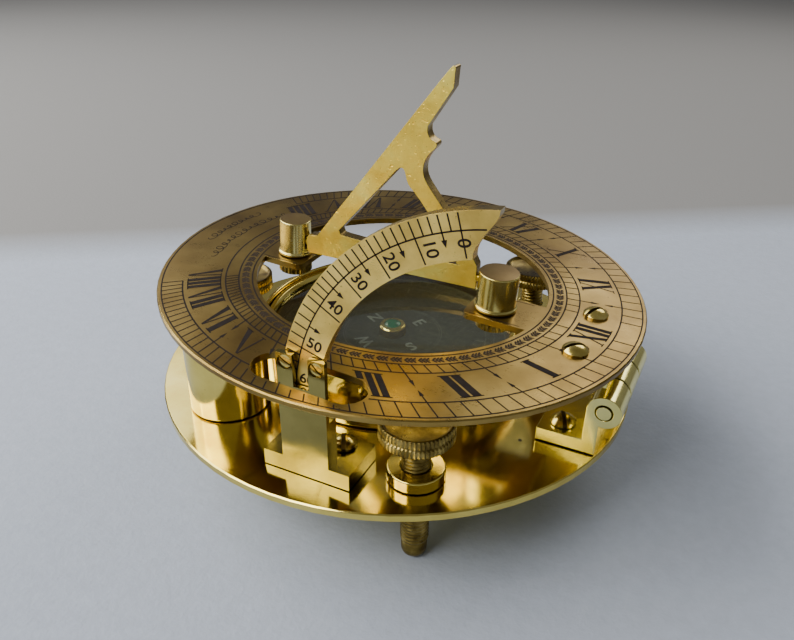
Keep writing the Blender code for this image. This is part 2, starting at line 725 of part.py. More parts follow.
def build_hinge_dial_leaf(material, screw_material, pivot):
    """Flange under the dial with a web down to the middle knuckle."""
    web_out = -KNUCKLE_RADIUS + HINGE_WALL + 0.0001
    meet = math.acos(web_out / KNUCKLE_RADIUS)
    flange_start, flange_top = level_to_pivot(FLANGE_START_X, DIAL_TOP - DIAL_THICKNESS - GAP)
    flange_low = flange_top - FLANGE_THICKNESS
    outline = [(flange_start, flange_low), (-KNUCKLE_RADIUS, flange_low)]
    outline += arc_points((0.0, 0.0), KNUCKLE_RADIUS, math.pi, math.tau + meet, 30)
    outline += [(web_out, flange_top), (flange_start, flange_top)]
    start = NOON_Y - HINGE_LENGTH / 2.0
    bm = bmesh.new()
    add_plate(bm, outline, start, HINGE_LENGTH, upright=True)
    piece = make_object("hinge_dial_leaf", bm, material, parent=pivot)

    near, far = hinge_third(1)
    reach = KNUCKLE_RADIUS + 0.001
    sides = bmesh.new()
    for low, high in ((start - 0.001, near + GAP), (far - GAP, start + HINGE_LENGTH + 0.001)):
        add_box(sides, (-reach, low, -reach), (reach, high, flange_low))
    cut(piece, sides, "hinge_dial_leaf_sides", parent=pivot)

    holes = bmesh.new()
    add_rod(holes, HINGE_PIN_RADIUS + GAP, (0.0, near - 0.001, 0.0), (0.0, far + 0.001, 0.0))
    places = [(x - HINGE_X, y) for x, y in hinge_screw_points()]
    add_holes(holes, places, SCREW_SHANK_RADIUS + GAP, flange_low - 0.001, flange_top + 0.001)
    cut(piece, holes, "hinge_dial_leaf_holes", parent=pivot)

    seat = DIAL_TOP - HINGE_Z + GAP
    shank = (SCREW_SHANK_RADIUS, seat - flange_low)
    screw_places = [Matrix.Translation((x, y, seat)) for x, y in places]
    make_screws("hinge_dial_screw", screw_places, screw_material, shank=shank, parent=pivot,
                turns=(110.0, 60.0))


# ---- dial and gnomon ----------------------------------------------------------------
def dial_opening_outline():
    """The round opening with a tab reaching in from the south and from the north."""
    front = NOON_Y - TAB_HALF_WIDTH
    back = NOON_Y + TAB_HALF_WIDTH
    center = (DIAL_X, DIAL_Y)
    front_angle = math.asin((front - DIAL_Y) / DIAL_OPENING)
    back_angle = math.asin((back - DIAL_Y) / DIAL_OPENING)
    corner = TAB_CORNER
    quarter = math.pi / 2.0
    outline = arc_points(center, DIAL_OPENING, back_angle, math.pi - back_angle, 44)
    x = SOUTH_TAB_END - corner
    outline += arc_points((x, back - corner), corner, quarter, 0.0, 4)
    outline += arc_points((x, front + corner), corner, 0.0, -quarter, 4)
    outline += arc_points(center, DIAL_OPENING, math.pi - front_angle, math.tau + front_angle, 40)
    x = NORTH_TAB_END + corner
    outline += arc_points((x, front + corner), corner, 3.0 * quarter, math.pi, 4)
    outline += arc_points((x, back - corner), corner, math.pi, quarter, 4)
    return outline


def slot_outline():
    radius = SLOT_WIDTH / 2.0
    reach = SLOT_LENGTH / 2.0 - radius
    quarter = math.pi / 2.0
    outline = arc_points((SLOT_X + reach, SLOT_Y), radius, -quarter, quarter, 10)
    outline += arc_points((SLOT_X - reach, SLOT_Y), radius, quarter, 3.0 * quarter, 10)
    return outline


def build_dial_plate(material, pivot):
    """Hour ring; its own origin is over the base's axis, in the top face."""
    low = -DIAL_THICKNESS
    profile = [
        (0.0, 0.0),
        (DIAL_RADIUS - EDGE, 0.0),
        (DIAL_RADIUS, -EDGE),
        (DIAL_RADIUS, low + EDGE),
        (DIAL_RADIUS - EDGE, low),
        (0.0, low),
    ]
    x, z = level_to_pivot(0.0, DIAL_TOP)
    place = (x, 0.0, z)
    disc = turned(profile, LARGE_STEPS, center=(DIAL_X, DIAL_Y, 0.0))
    piece = make_object("dial_plate", disc, material, place, pivot)

    cutters = bmesh.new()
    span = (low - 0.001, DIAL_THICKNESS + 0.002)
    add_plate(cutters, dial_opening_outline(), *span)
    add_plate(cutters, slot_outline(), *span)
    cut(piece, cutters, "dial_plate_openings", pivot, place)

    holes = bmesh.new()
    add_holes(holes, hinge_screw_points(), SCREW_SHANK_RADIUS + GAP, low - 0.001, 0.001)
    knobs = [(SOUTH_KNOB_X, NOON_Y), (NORTH_KNOB_X, NOON_Y)]
    add_holes(holes, knobs, KNOB_STUD_RADIUS + GAP, low - 0.001, 0.001)
    cut(piece, holes, "dial_plate_holes", pivot, place)


def build_knob(name, x, radius, facing, brass, pivot, dull):
    """Round knob that carries one end of the gnomon, with a nut under the tab."""
    stud_end = -DIAL_THICKNESS - GAP - NUT_HEIGHT - 0.0004
    profile = [
        (0.0, GAP + KNOB_HEIGHT),
        (radius - EDGE, GAP + KNOB_HEIGHT),
        (radius, GAP + KNOB_HEIGHT - EDGE),
        (radius, GAP + KNOB_FOOT + EDGE),
        (radius + 0.0004, GAP + KNOB_FOOT),
        (radius + 0.0004, GAP),
        (KNOB_STUD_RADIUS, GAP),
        (KNOB_STUD_RADIUS, stud_end),
        (0.0, stud_end),
    ]
    local_x, z = level_to_pivot(x, DIAL_TOP)
    place = (local_x, NOON_Y, z)
    piece = make_object(f"knob_{name}", turned(profile, SMALL_STEPS), brass, place, pivot)

    bore = bmesh.new()
    end = GNOMON_SOUTH_END if facing > 0 else GNOMON_NORTH_END
    deep = end - facing * (GNOMON_PIN_LENGTH + GAP)
    add_rod(bore, GNOMON_PIN_RADIUS + GAP, (deep, NOON_Y, GNOMON_Z), (end + facing * 0.002, NOON_Y, GNOMON_Z), 16)
    cut(piece, bore, f"knob_{name}_bore")

    nut_top = -DIAL_THICKNESS - GAP
    ring = [
        (KNOB_STUD_RADIUS + GAP, nut_top),
        (NUT_RADIUS - EDGE, nut_top),
        (NUT_RADIUS, nut_top - EDGE),
        (NUT_RADIUS, nut_top - NUT_HEIGHT + EDGE),
        (NUT_RADIUS - EDGE, nut_top - NUT_HEIGHT),
        (KNOB_STUD_RADIUS + GAP, nut_top - NUT_HEIGHT),
    ]
    ring_mesh = turned(ring, SMALL_STEPS, closed=True)
    make_object(f"knob_nut_{name}", ring_mesh, dull, place, pivot)


def gnomon_outline():
    """The gnomon's edge in millimetres from its axis, from its south end round to its north end."""
    style = [(-21.4, 2.8), (12.4, 46.3)]
    tip = smooth_run([(15.0, 49.5), (15.6, 49.9), (16.1, 49.5), (16.0, 48.6), (15.8, 45.2)])
    back = smooth_run([
        (9.8, 35.9), (9.8, 34.4), (10.6, 33.0), (12.0, 32.3), (12.0, 31.2), (10.2, 29.2),
        (9.1, 27.0), (9.0, 24.4), (10.3, 21.8), (14.5, 16.5), (21.0, 8.2), (23.8, 3.6),
    ])
    lug = [(23.8, -2.6), (-24.0, -2.6), (-24.7, -1.9), (-24.7, 1.8), (-24.0, 2.5)]
    return style + tip + back + lug


def gnomon_opening():
    """The open triangle between the style, the foot bar and the curved leg."""
    sides = [(-14.6, 5.6), (1.6, 24.0)]
    apex = smooth_run([(2.7, 25.0), (3.5, 25.0), (4.1, 24.2), (5.1, 21.2), (7.9, 18.2), (16.5, 7.4), (18.6, 4.2)])
    foot = smooth_run([(18.4, 3.2), (16.8, 2.9), (-9.2, 4.0), (-14.2, 4.5)])
    return sides + apex + foot


def build_gnomon(material, pivot):
    """Flat casting with a pin at each end; its parent empty is on the pins' axis."""
    axis = make_empty("gnomon_axis", (0.0, NOON_Y, GNOMON_Z))
    axis.parent = pivot
    axis.matrix_parent_inverse = pivot.matrix_world.inverted()
    bm = bmesh.new()
    outline = [(x / 1000.0, z / 1000.0) for x, z in gnomon_outline()]
    add_plate(bm, outline, -GNOMON_THICKNESS / 2.0, GNOMON_THICKNESS, upright=True)
    piece = make_object("gnomon", bm, material, parent=axis)

    opening = bmesh.new()
    inside = [(x / 1000.0, z / 1000.0) for x, z in gnomon_opening()]
    add_plate(opening, inside, -GNOMON_THICKNESS, 2.0 * GNOMON_THICKNESS, upright=True)
    cut(piece, opening, "gnomon_opening", parent=axis)

    pins = bmesh.new()
    for end, facing in ((GNOMON_SOUTH_END, 1.0), (GNOMON_NORTH_END, -1.0)):
        add_rod(pins, GNOMON_PIN_RADIUS, (end - facing * GNOMON_PIN_LENGTH, 0.0, 0.0),
                (end + facing * 0.001, 0.0, 0.0), 16)
    joined = make_object("gnomon_pins", pins, parent=axis)
    joined.hide_render = True
    joined.display_type = "WIRE"
    union = piece.modifiers.new("gnomon_pins", "BOOLEAN")
    union.operation = "UNION"
    union.solver = "EXACT"
    union.object = joined


def build_dial(materials):
    """Everything that turns with the dial hangs on an empty on the hinge axis."""
    pivot = make_empty("dial_pivot", (HINGE_X, 0.0, HINGE_Z))
    pivot.rotation_euler = (0.0, REST_TILT, 0.0)
    bpy.context.view_layer.update()
    build_hinge_dial_leaf(materials["pale_brass"], materials["dull_brass"], pivot)
    build_dial_plate(materials["aged_brass"], pivot)
    knobs = (("south", SOUTH_KNOB_X, SOUTH_KNOB_RADIUS, 1), ("north", NORTH_KNOB_X, NORTH_KNOB_RADIUS, -1))
    for name, x, radius, facing in knobs:
        build_knob(name, x, radius, facing, materials["polished_brass"], pivot, materials["dull_brass"])
    build_gnomon(materials["cast_brass"], pivot)


def make_materials():
    return {
        "polished_brass": make_material("polished_brass", (0.78, 0.58, 0.20), 0.12),
        "pale_brass": make_material("pale_brass", (0.80, 0.68, 0.34), 0.25),
        "cast_brass": make_material("cast_brass", (0.74, 0.58, 0.25), 0.38),
        "aged_brass": make_material("aged_brass", (0.56, 0.42, 0.22), 0.34),
        "dull_brass": make_material("dull_brass", (0.55, 0.43, 0.20), 0.42),
        "glass": make_material("glass", (0.80, 0.86, 0.82), 0.03, metallic=0.0, alpha=0.35),
        "card": make_material("card", (0.08, 0.10, 0.09), 0.55, metallic=0.0),
        "jewel": make_material("jewel", (0.02, 0.30, 0.16), 0.08, metallic=0.0),
        "steel": make_material("steel", (0.52, 0.53, 0.55), 0.30),
    }


def main():
    clear_scene()
    materials = make_materials()
    build_base_plate(materials["polished_brass"])
    build_feet(materials["polished_brass"], materials["dull_brass"])
    build_pillar(materials["polished_brass"], materials["dull_brass"])
    build_compass_bowl(materials["polished_brass"], materials["dull_brass"])
    build_compass_glass(materials["glass"], materials["polished_brass"])
    build_compass_works(
        materials["card"], materials["steel"], materials["polished_brass"], materials["jewel"], materials["steel"]
    )
    build_arc_post(materials["pale_brass"], materials["dull_brass"])
    build_latitude_arc(materials["cast_brass"], materials["dull_brass"])
    build_hinge_base_leaf(materials["pale_brass"], materials["dull_brass"])
    build_hinge_pin(materials["pale_brass"])
    build_dial(materials)


main()
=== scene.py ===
import math

import bmesh
import bpy
import numpy as np
from mathutils import Matrix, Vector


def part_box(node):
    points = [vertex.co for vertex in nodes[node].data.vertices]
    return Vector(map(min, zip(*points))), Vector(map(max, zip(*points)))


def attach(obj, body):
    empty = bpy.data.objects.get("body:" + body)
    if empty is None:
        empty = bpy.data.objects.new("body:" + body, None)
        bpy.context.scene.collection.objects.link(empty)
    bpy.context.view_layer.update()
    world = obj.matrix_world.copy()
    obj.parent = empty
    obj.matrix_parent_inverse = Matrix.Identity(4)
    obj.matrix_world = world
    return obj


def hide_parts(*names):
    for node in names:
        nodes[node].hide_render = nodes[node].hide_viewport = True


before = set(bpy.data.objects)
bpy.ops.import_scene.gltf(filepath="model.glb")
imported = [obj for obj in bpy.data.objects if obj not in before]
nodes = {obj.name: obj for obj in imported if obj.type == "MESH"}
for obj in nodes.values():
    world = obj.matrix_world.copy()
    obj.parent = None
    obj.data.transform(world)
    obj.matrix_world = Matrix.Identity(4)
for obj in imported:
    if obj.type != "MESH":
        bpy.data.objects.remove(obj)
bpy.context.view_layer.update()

mm = 0.001


# shaping helpers: every shape is a grid or a set of quads in millimetres
def makePiece(name, verts, faces, finish, body, standsFor=(), matrix=None, sharp=35.0,
              weld=True, second=None, marks=None):
    # points in mm, carried by matrix (in mm) into the row frame, then scaled to metres
    co = np.asarray(verts, float).reshape(-1, 3)
    if matrix is not None:
        co = co @ matrix[:3, :3].T + matrix[:3, 3]
    mesh = bpy.data.meshes.new(name)
    mesh.from_pydata((co * mm).tolist(), [], faces.tolist() if isinstance(faces, np.ndarray) else faces)
    if marks is not None:
        mesh.materials.append(finish)
        mesh.materials.append(second)
        mesh.polygons.foreach_set("material_index", np.asarray(marks, np.int32))
    return settle(name, mesh, finish, body, standsFor, sharp, weld)


def settle(name, mesh, finish, body, standsFor=(), sharp=35.0, weld=True):
    # joins doubled points, turns faces outwards and puts the piece on its body
    bm = bmesh.new()
    bm.from_mesh(mesh)
    if weld:
        bmesh.ops.remove_doubles(bm, verts=bm.verts, dist=2e-6)
    bmesh.ops.recalc_face_normals(bm, faces=bm.faces)
    bm.to_mesh(mesh)
    bm.free()
    mesh.shade_smooth()
    mesh.set_sharp_from_angle(angle=math.radians(sharp))
    if len(mesh.materials) < 2:
        mesh.materials.clear()
        mesh.materials.append(finish)
    piece = bpy.data.objects.new(name, mesh)
    bpy.context.scene.collection.objects.link(piece)
    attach(piece, body)
    if standsFor:
        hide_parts(*standsFor)
    return piece


def gridFaces(rows, columns, wrapColumns=True):
    # quads between neighbouring rows and columns of a grid of points
    i, j = np.meshgrid(np.arange(rows - 1), np.arange(columns if wrapColumns else columns - 1), indexing="ij")
    k = (j + 1) % columns
    corners = [i * columns + j, i * columns + k, (i + 1) * columns + k, (i + 1) * columns + j]
    return np.stack(corners, -1).reshape(-1, 4)


def softened(profile, radius, steps=3):
    # each inner corner of a profile becomes a short curve: (1-t)^2 a + 2t(1-t) corner + t^2 b
    points = np.asarray(profile, float)
    made = [points[:1]]
    for before, corner, after in zip(points[:-2], points[1:-1], points[2:]):
        inward, outward = before - corner, after - corner
        a = corner + inward * min(0.45, radius / np.linalg.norm(inward))
        b = corner + outward * min(0.45, radius / np.linalg.norm(outward))
        t = np.linspace(0.0, 1.0, steps + 1)[:, None]
        made.append((1 - t) ** 2 * a + 2 * t * (1 - t) * corner + t ** 2 * b)
    made.append(points[-1:])
    return np.concatenate(made)


def latheGrid(profile, steps, center=(0.0, 0.0, 0.0)):
    # (radius, height) carried round the vertical axis: x = r cos a, y = r sin a
    r, z = np.asarray(profile, float).T
    a = np.linspace(0.0, math.tau, steps, endpoint=False)
    grid = np.stack([r[:, None] * np.cos(a), r[:, None] * np.sin(a), z[:, None] + 0 * a], -1)
    return grid + np.asarray(center, float)


def turnedPiece(name, profile, center, finish, body, standsFor, matrix=None, steps=160,
                soft=0.25, closed=False):
    # an open profile runs from the axis to the axis, a closed one back to its own start as a ring
    shape = softened(list(profile) + [profile[0]] if closed else profile, soft)
    grid = latheGrid(shape, steps, center)
    return makePiece(name, grid, gridFaces(len(shape), steps), finish, body, standsFor, matrix)


def refined(node, finish, body, width=0.00022, angle=32.0, edgeWearAndSheen=None, rounds=2, paintedSideShade=None):
    # a merged copy of the CAD solid with its edges broken
    mesh = nodes[node].data.copy()
    bm = bmesh.new()
    bm.from_mesh(mesh)
    bmesh.ops.remove_doubles(bm, verts=bm.verts, dist=4e-6)
    bmesh.ops.dissolve_limit(bm, angle_limit=math.radians(1.0), verts=bm.verts, edges=bm.edges)
    bm.to_mesh(mesh)
    bm.free()
    piece = settle(node + "_fine", mesh, finish, body, [node], angle, False)
    if paintedSideShade:                       # an upright plate whose side faces get a darker brass than its two faces: painted shade on its sides
        piece.data.materials.append(paintedSideShade)
        for face in piece.data.polygons:
            face.material_index = int(abs(face.normal.y) < 0.7)
    edge = piece.modifiers.new("edges", "BEVEL")
    edge.width = width
    edge.segments = rounds
    if edgeWearAndSheen:                       # worn edges in a brighter brass, also a painted highlight along the rim
        piece.data.materials.append(edgeWearAndSheen)
        edge.material = 1
    edge.limit_method = "ANGLE"
    edge.angle_limit = math.radians(angle)
    edge.harden_normals = True
    return piece


def prisms(quads, low, high):
    # flat quads become thin closed blocks between two heights
    flat = np.asarray(quads, float).reshape(-1, 4, 2)
    n = len(flat)
    bottom = np.concatenate([flat, np.full((n, 4, 1), low)], -1)
    top = np.concatenate([flat, np.full((n, 4, 1), high)], -1)
    pattern = np.array([[3, 2, 1, 0], [4, 5, 6, 7], [0, 1, 5, 4], [1, 2, 6, 5], [2, 3, 7, 6], [3, 0, 4, 7]])
    faces = (np.arange(n) * 8)[:, None, None] + pattern
    return np.concatenate([bottom, top], 1).reshape(-1, 3), faces.reshape(-1, 4)


def bars(starts, ends, width, endWidth=None):
    # straight strokes: each end is widened across the stroke by half its width
    p, q = np.atleast_2d(np.asarray(starts, float)), np.atleast_2d(np.asarray(ends, float))
    along = (q - p) / np.linalg.norm(q - p, axis=1, keepdims=True)
    across = np.stack([-along[:, 1], along[:, 0]], 1)
    a, b = width / 2.0, (width if endWidth is None else endWidth) / 2.0
    return np.stack([p - across * a, p + across * a, q + across * b, q - across * b], 1)


def split(quads, parts):
    # cuts each stroke into equal lengths between its two ends
    q = np.asarray(quads, float).reshape(-1, 4, 2)
    t = np.linspace(0.0, 1.0, parts + 1)
    left = q[:, None, 0] + t[None, :, None] * (q[:, None, 3] - q[:, None, 0])
    right = q[:, None, 1] + t[None, :, None] * (q[:, None, 2] - q[:, None, 1])
    return np.stack([left[:, :-1], right[:, :-1], right[:, 1:], left[:, 1:]], 2).reshape(-1, 4, 2)


def ringQuads(radius, width, start=0.0, end=math.tau, parts=240):
    # a circle line as quads between two radii
    a = np.linspace(start, end, parts + 1)
    inner = np.stack([np.cos(a), np.sin(a)], 1) * (radius - width / 2.0)
    outer = np.stack([np.cos(a), np.sin(a)], 1) * (radius + width / 2.0)
    return np.stack([inner[:-1], outer[:-1], outer[1:], inner[1:]], 1)


def pathQuads(points, width):
    # a curved stroke through points, its width measured across the run
    p = np.asarray(points, float)
    run = np.gradient(p, axis=0)
    run /= np.linalg.norm(run, axis=1, keepdims=True)
    half = np.broadcast_to(np.asarray(width, float) / 2.0, len(p))[:, None]
    across = np.stack([-run[:, 1], run[:, 0]], 1) * half
    a, b = p - across, p + across
    return np.stack([a[:-1], b[:-1], b[1:], a[1:]], 1)


def frameMatrix(xAxis, yAxis, zAxis, origin):
    made = np.eye(4)
    made[:3, 0], made[:3, 1], made[:3, 2], made[:3, 3] = xAxis, yAxis, zAxis, origin
    return made


baseTop = 23.0                           # mm, the base disc's upper face
dialTop = baseTop + 23.3                 # the dial's upper face when it is level
noonY = -4.0
dialTilt = math.radians(3.07)
hingePoint = np.array([61.0, 0.0, baseTop + 12.4])
turnY = np.array([[math.cos(dialTilt), 0.0, math.sin(dialTilt)],
                  [0.0, 1.0, 0.0],
                  [-math.sin(dialTilt), 0.0, math.cos(dialTilt)]])
dialFrame = np.eye(4)                    # carries points on the level dial (z from its top face) to rest
dialFrame[:3, :3] = turnY
dialFrame[:3, 3] = hingePoint + turnY @ (np.array([0.0, 0.0, dialTop]) - hingePoint)


# finishes
def nodeTree(name):
    material = bpy.data.materials.new(name)
    material.use_nodes = True
    tree = material.node_tree
    return material, tree, tree.nodes["Principled BSDF"]


def noise(tree, scale, detail=4.0, stretch=(1.0, 1.0, 1.0), rough=0.55, turn=0.0):
    where = tree.nodes.new("ShaderNodeTexCoord")
    mapping = tree.nodes.new("ShaderNodeMapping")
    mapping.inputs["Scale"].default_value = stretch
    mapping.inputs["Rotation"].default_value = (0.0, 0.0, turn)
    texture = tree.nodes.new("ShaderNodeTexNoise")
    texture.inputs["Scale"].default_value = scale
    texture.inputs["Detail"].default_value = detail
    texture.inputs["Roughness"].default_value = rough
    tree.links.new(where.outputs["Object"], mapping.inputs["Vector"])
    tree.links.new(mapping.outputs["Vector"], texture.inputs["Vector"])
    return texture.outputs["Fac"]


def ramp(tree, value, stops):
    node = tree.nodes.new("ShaderNodeValToRGB")
    node.color_ramp.elements[0].position = stops[0][0]
    node.color_ramp.elements[0].color = (*stops[0][1], 1.0)
    node.color_ramp.elements[1].position = stops[-1][0]
    node.color_ramp.elements[1].color = (*stops[-1][1], 1.0)
    for position, color in stops[1:-1]:
        node.color_ramp.elements.new(position).color = (*color, 1.0)
    tree.links.new(value, node.inputs["Fac"])
    return node.outputs["Color"]


def blendColors(tree, a, b, factor, kind="MIX"):
    node = tree.nodes.new("ShaderNodeMix")
    node.data_type = "RGBA"
    node.blend_type = kind
    for socket, value in (("Factor", factor), ("A", a), ("B", b)):
        wanted = "VALUE" if socket == "Factor" else "RGBA"
        target = [s for s in node.inputs if s.name == socket and s.type == wanted][0]
        if isinstance(value, (float, tuple)):
            target.default_value = value
        else:
            tree.links.new(value, target)
    return [s for s in node.outputs if s.type == "RGBA"][0]


def spread(tree, value, fromLow, fromHigh, low, high):
    node = tree.nodes.new("ShaderNodeMapRange")
    for socket, number in zip(("From Min", "From Max", "To Min", "To Max"), (fromLow, fromHigh, low, high)):
        node.inputs[socket].default_value = number
    tree.links.new(value, node.inputs["Value"])
    return node.outputs["Result"]


def bump(tree, shader, heights):
    # each height field is laid over the one before it
    last = None
    for value, strength, depth in heights:
        node = tree.nodes.new("ShaderNodeBump")
        node.inputs["Strength"].default_value = strength
        node.inputs["Distance"].default_value = depth
        tree.links.new(value, node.inputs["Height"])
        if last is not None:
            tree.links.new(last, node.inputs["Normal"])
        last = node.outputs["Normal"]
    tree.links.new(last, shader.inputs["Normal"])


def brass(name, dark, middle, light, gloss, patch=60.0, specks=0.5, grain=(1.0, 1.0, 1.0),
          depth=0.00002, pits=0.0, spotColor=(0.10, 0.06, 0.02)):
    # cloudy tarnish, small dark specks, fine directional scratches and, on castings, pits
    material, tree, shader = nodeTree(name)
    shader.inputs["Metallic"].default_value = 1.0
    cloud = ramp(tree, noise(tree, patch, 5.0), [(0.32, dark), (0.52, middle), (0.70, light)])
    more = 0.06 * specks
    spots = ramp(tree, noise(tree, 1500.0, 3.0, rough=0.7),
                 [(0.70 - more, (0.0, 0.0, 0.0)), (0.80 - more, (1.0, 1.0, 1.0))])
    color = blendColors(tree, cloud, (*spotColor, 1.0), spots)
    tree.links.new(color, shader.inputs["Base Color"])
    scratch = noise(tree, 900.0, 6.0, grain, 0.65, 0.5)
    wear = noise(tree, 140.0, 4.0)
    low, high = gloss
    rough = tree.nodes.new("ShaderNodeMath")
    rough.operation = "ADD"
    rough.use_clamp = True
    tree.links.new(spread(tree, scratch, 0.3, 0.7, low, (low + high) / 2.0), rough.inputs[0])
    tree.links.new(spread(tree, wear, 0.35, 0.7, 0.0, (high - low) / 2.0), rough.inputs[1])
    tree.links.new(rough.outputs[0], shader.inputs["Roughness"])
    heights = [(scratch, 0.25, depth)]
    if pits:
        heights.append((noise(tree, 420.0, 5.0), pits, 0.00025))
        heights.append((spread(tree, noise(tree, 1100.0, 2.0), 0.60, 0.72, 1.0, 0.0), pits, 0.00012))
    bump(tree, shader, heights)
    return material


finishes = {
    "polished": brass("polishedBrass", (0.60, 0.46, 0.10), (0.78, 0.63, 0.16), (0.88, 0.74, 0.24),
                      (0.07, 0.18), specks=0.45, grain=(1.0, 14.0, 1.0), depth=0.000005),
    "satin": brass("satinBrass", (0.50, 0.41, 0.11), (0.66, 0.56, 0.18), (0.76, 0.67, 0.26),
                   (0.16, 0.30), specks=0.3, grain=(1.0, 1.0, 8.0), depth=0.00001),
    "pale": brass("paleBrass", (0.60, 0.53, 0.15), (0.76, 0.69, 0.24), (0.84, 0.78, 0.32),
                  (0.12, 0.28), specks=0.1, grain=(1.0, 1.0, 18.0), depth=0.00001),
    "post": brass("postBrass", (0.20, 0.165, 0.045), (0.25, 0.21, 0.06), (0.32, 0.27, 0.085),
                  (0.12, 0.26), specks=0.3, grain=(1.0, 1.0, 18.0), depth=0.00001),
    "cast": brass("castBrass", (0.84, 0.57, 0.07), (1.0, 0.74, 0.11), (1.0, 0.86, 0.20),
                  (0.30, 0.52), patch=110.0, specks=0.7, pits=0.6),
    # painted shade: a darker brass for the side faces of the gnomon and the latitude arc
    "rim": brass("rimPaintedShadeBrass", (0.17, 0.115, 0.03), (0.27, 0.19, 0.055), (0.40, 0.30, 0.10),
                 (0.20, 0.38), patch=240.0, specks=0.8, pits=0.2),
    "arc": brass("arcBrass", (0.56, 0.37, 0.08), (0.84, 0.58, 0.14), (1.0, 0.74, 0.21),
                 (0.24, 0.42), patch=80.0, specks=0.7, grain=(1.0, 1.0, 6.0), depth=0.00001),
    "dial": brass("dialBrass", (0.17, 0.105, 0.024), (0.27, 0.180, 0.046), (0.39, 0.275, 0.080),
                  (0.24, 0.42), patch=42.0, specks=0.8, grain=(1.0, 4.0, 1.0), depth=0.000008,
                  spotColor=(0.07, 0.035, 0.012)),
    # painted shade: the knob tops get a brass far darker than the knob sides
    "knobTopShade": brass("knobTopShadeBrass", (0.15, 0.095, 0.032), (0.215, 0.145, 0.052), (0.28, 0.20, 0.075),
                     (0.34, 0.48), specks=0.5),
    "dull": brass("dullBrass", (0.10, 0.065, 0.015), (0.24, 0.175, 0.045), (0.46, 0.35, 0.11),
                  (0.22, 0.42), patch=300.0, specks=0.9),
    "screw": brass("screwBrass", (0.50, 0.38, 0.09), (0.70, 0.56, 0.16), (0.84, 0.70, 0.28),
                   (0.12, 0.28), patch=240.0, specks=0.35),
}


def enamel(name, color, rough, variation=0.25, metal=0.0, sheen=0.5):
    # filled engraving and printed card: nearly black, a little uneven
    material, tree, shader = nodeTree(name)
    deep = tuple(c * (1.0 - variation) for c in color)
    shade = ramp(tree, noise(tree, 700.0, 4.0), [(0.3, deep), (0.7, color)])
    tree.links.new(shade, shader.inputs["Base Color"])
    tree.links.new(spread(tree, noise(tree, 500.0), 0.3, 0.7, rough, rough + 0.2), shader.inputs["Roughness"])
    shader.inputs["Metallic"].default_value = metal
    shader.inputs["Specular IOR Level"].default_value = sheen
    return material


finishes["fill"] = enamel("engravingFill", (0.016, 0.010, 0.008), 0.6, 0.5, sheen=0.15)
finishes["arcFill"] = enamel("arcEngravingFill", (0.016, 0.010, 0.008), 0.6, 0.4, sheen=0.15)
finishes["leaf"] = enamel("leafEngravingFill", (0.030, 0.019, 0.012), 0.6, 0.6, sheen=0.2)
finishes["card"] = enamel("compassCard", (0.060, 0.058, 0.026), 0.6, 0.5)
finishes["cardPrint"] = enamel("compassCardPrint", (0.11, 0.115, 0.075), 0.6, 0.4)
finishes["cardLetter"] = enamel("compassCardLetter", (0.30, 0.32, 0.27), 0.5, 0.5)
finishes["steel"] = enamel("pivotSteel", (0.50, 0.51, 0.53), 0.25, 0.2, 1.0)
finishes["magnet"] = enamel("magnetSteel", (0.12, 0.12, 0.13), 0.5, 0.4, 1.0)
# painted shade: the walls and floor of each screw slot are a dark brass
finishes["slotShade"] = enamel("screwSlotShade", (0.13, 0.085, 0.025), 0.5, 0.5, 1.0)
finishes["shadow"] = enamel("drilledHoleShadow", (0.030, 0.020, 0.008), 0.6)


def clear(name, color, rough, ior, transmission=1.0):
    material, tree, shader = nodeTree(name)
    shader.inputs["Base Color"].default_value = (*color, 1.0)
    shader.inputs["Transmission Weight"].default_value = transmission
    shader.inputs["IOR"].default_value = ior
    uneven = spread(tree, noise(tree, 300.0), 0.45, 0.75, rough, rough + 0.05)
    tree.links.new(uneven, shader.inputs["Roughness"])
    return material


finishes["glass"] = clear("compassGlass", (0.88, 0.92, 0.82), 0.01, 1.52)
finishes["jewel"] = clear("greenJewel", (0.0, 0.17, 0.07), 0.04, 1.6, 0.0)
print("finishes made")


# base disc
baseDisc = {"holes": ((-42.6, -35.2), (43.0, -20.4)), "holeRadius": 0.45}


def buildBase():
    refined("base_plate", finishes["polished"], "base", 0.0003)
    # painted shadow: a dark disc in each drilled hole stands for the shade inside it
    hole = ringQuads(baseDisc["holeRadius"] / 2.0, baseDisc["holeRadius"], parts=16)
    dots = np.concatenate([hole + np.array(at) for at in baseDisc["holes"]])
    verts, faces = prisms(dots, baseTop - 0.2, baseTop + 0.02)
    makePiece("base_drilled_hole_shadows", verts, faces, finishes["shadow"], "base", weld=False)


buildBase()

# dial rest pillar
pillar = {"center": (-29.0, -38.0), "radius": 10.2, "soft": 0.35}


def buildPillar():
    r, low = pillar["radius"], baseTop + 0.3
    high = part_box("dial_rest_pillar")[1].z / mm
    profile = [(0.0, high), (r - 0.1, high), (r, high - 0.2), (r, low + 0.2), (r - 0.2, low), (0.0, low)]
    turnedPiece("dial_rest_pillar_fine", profile, (*pillar["center"], 0.0), finishes["polished"], "base",
                ["dial_rest_pillar"], soft=pillar["soft"])


buildPillar()
print("base and pillar made")

# levelling feet
foot = {"circle": 50.8, "azimuths": (-59.0, 61.0, 181.0), "studRadius": 3.4, "pitch": 1.0,
        "threadDepth": 0.32, "tip": 4.8, "headRadius": 8.6, "teeth": 56, "toothDepth": 0.32, "headSteps": 448}


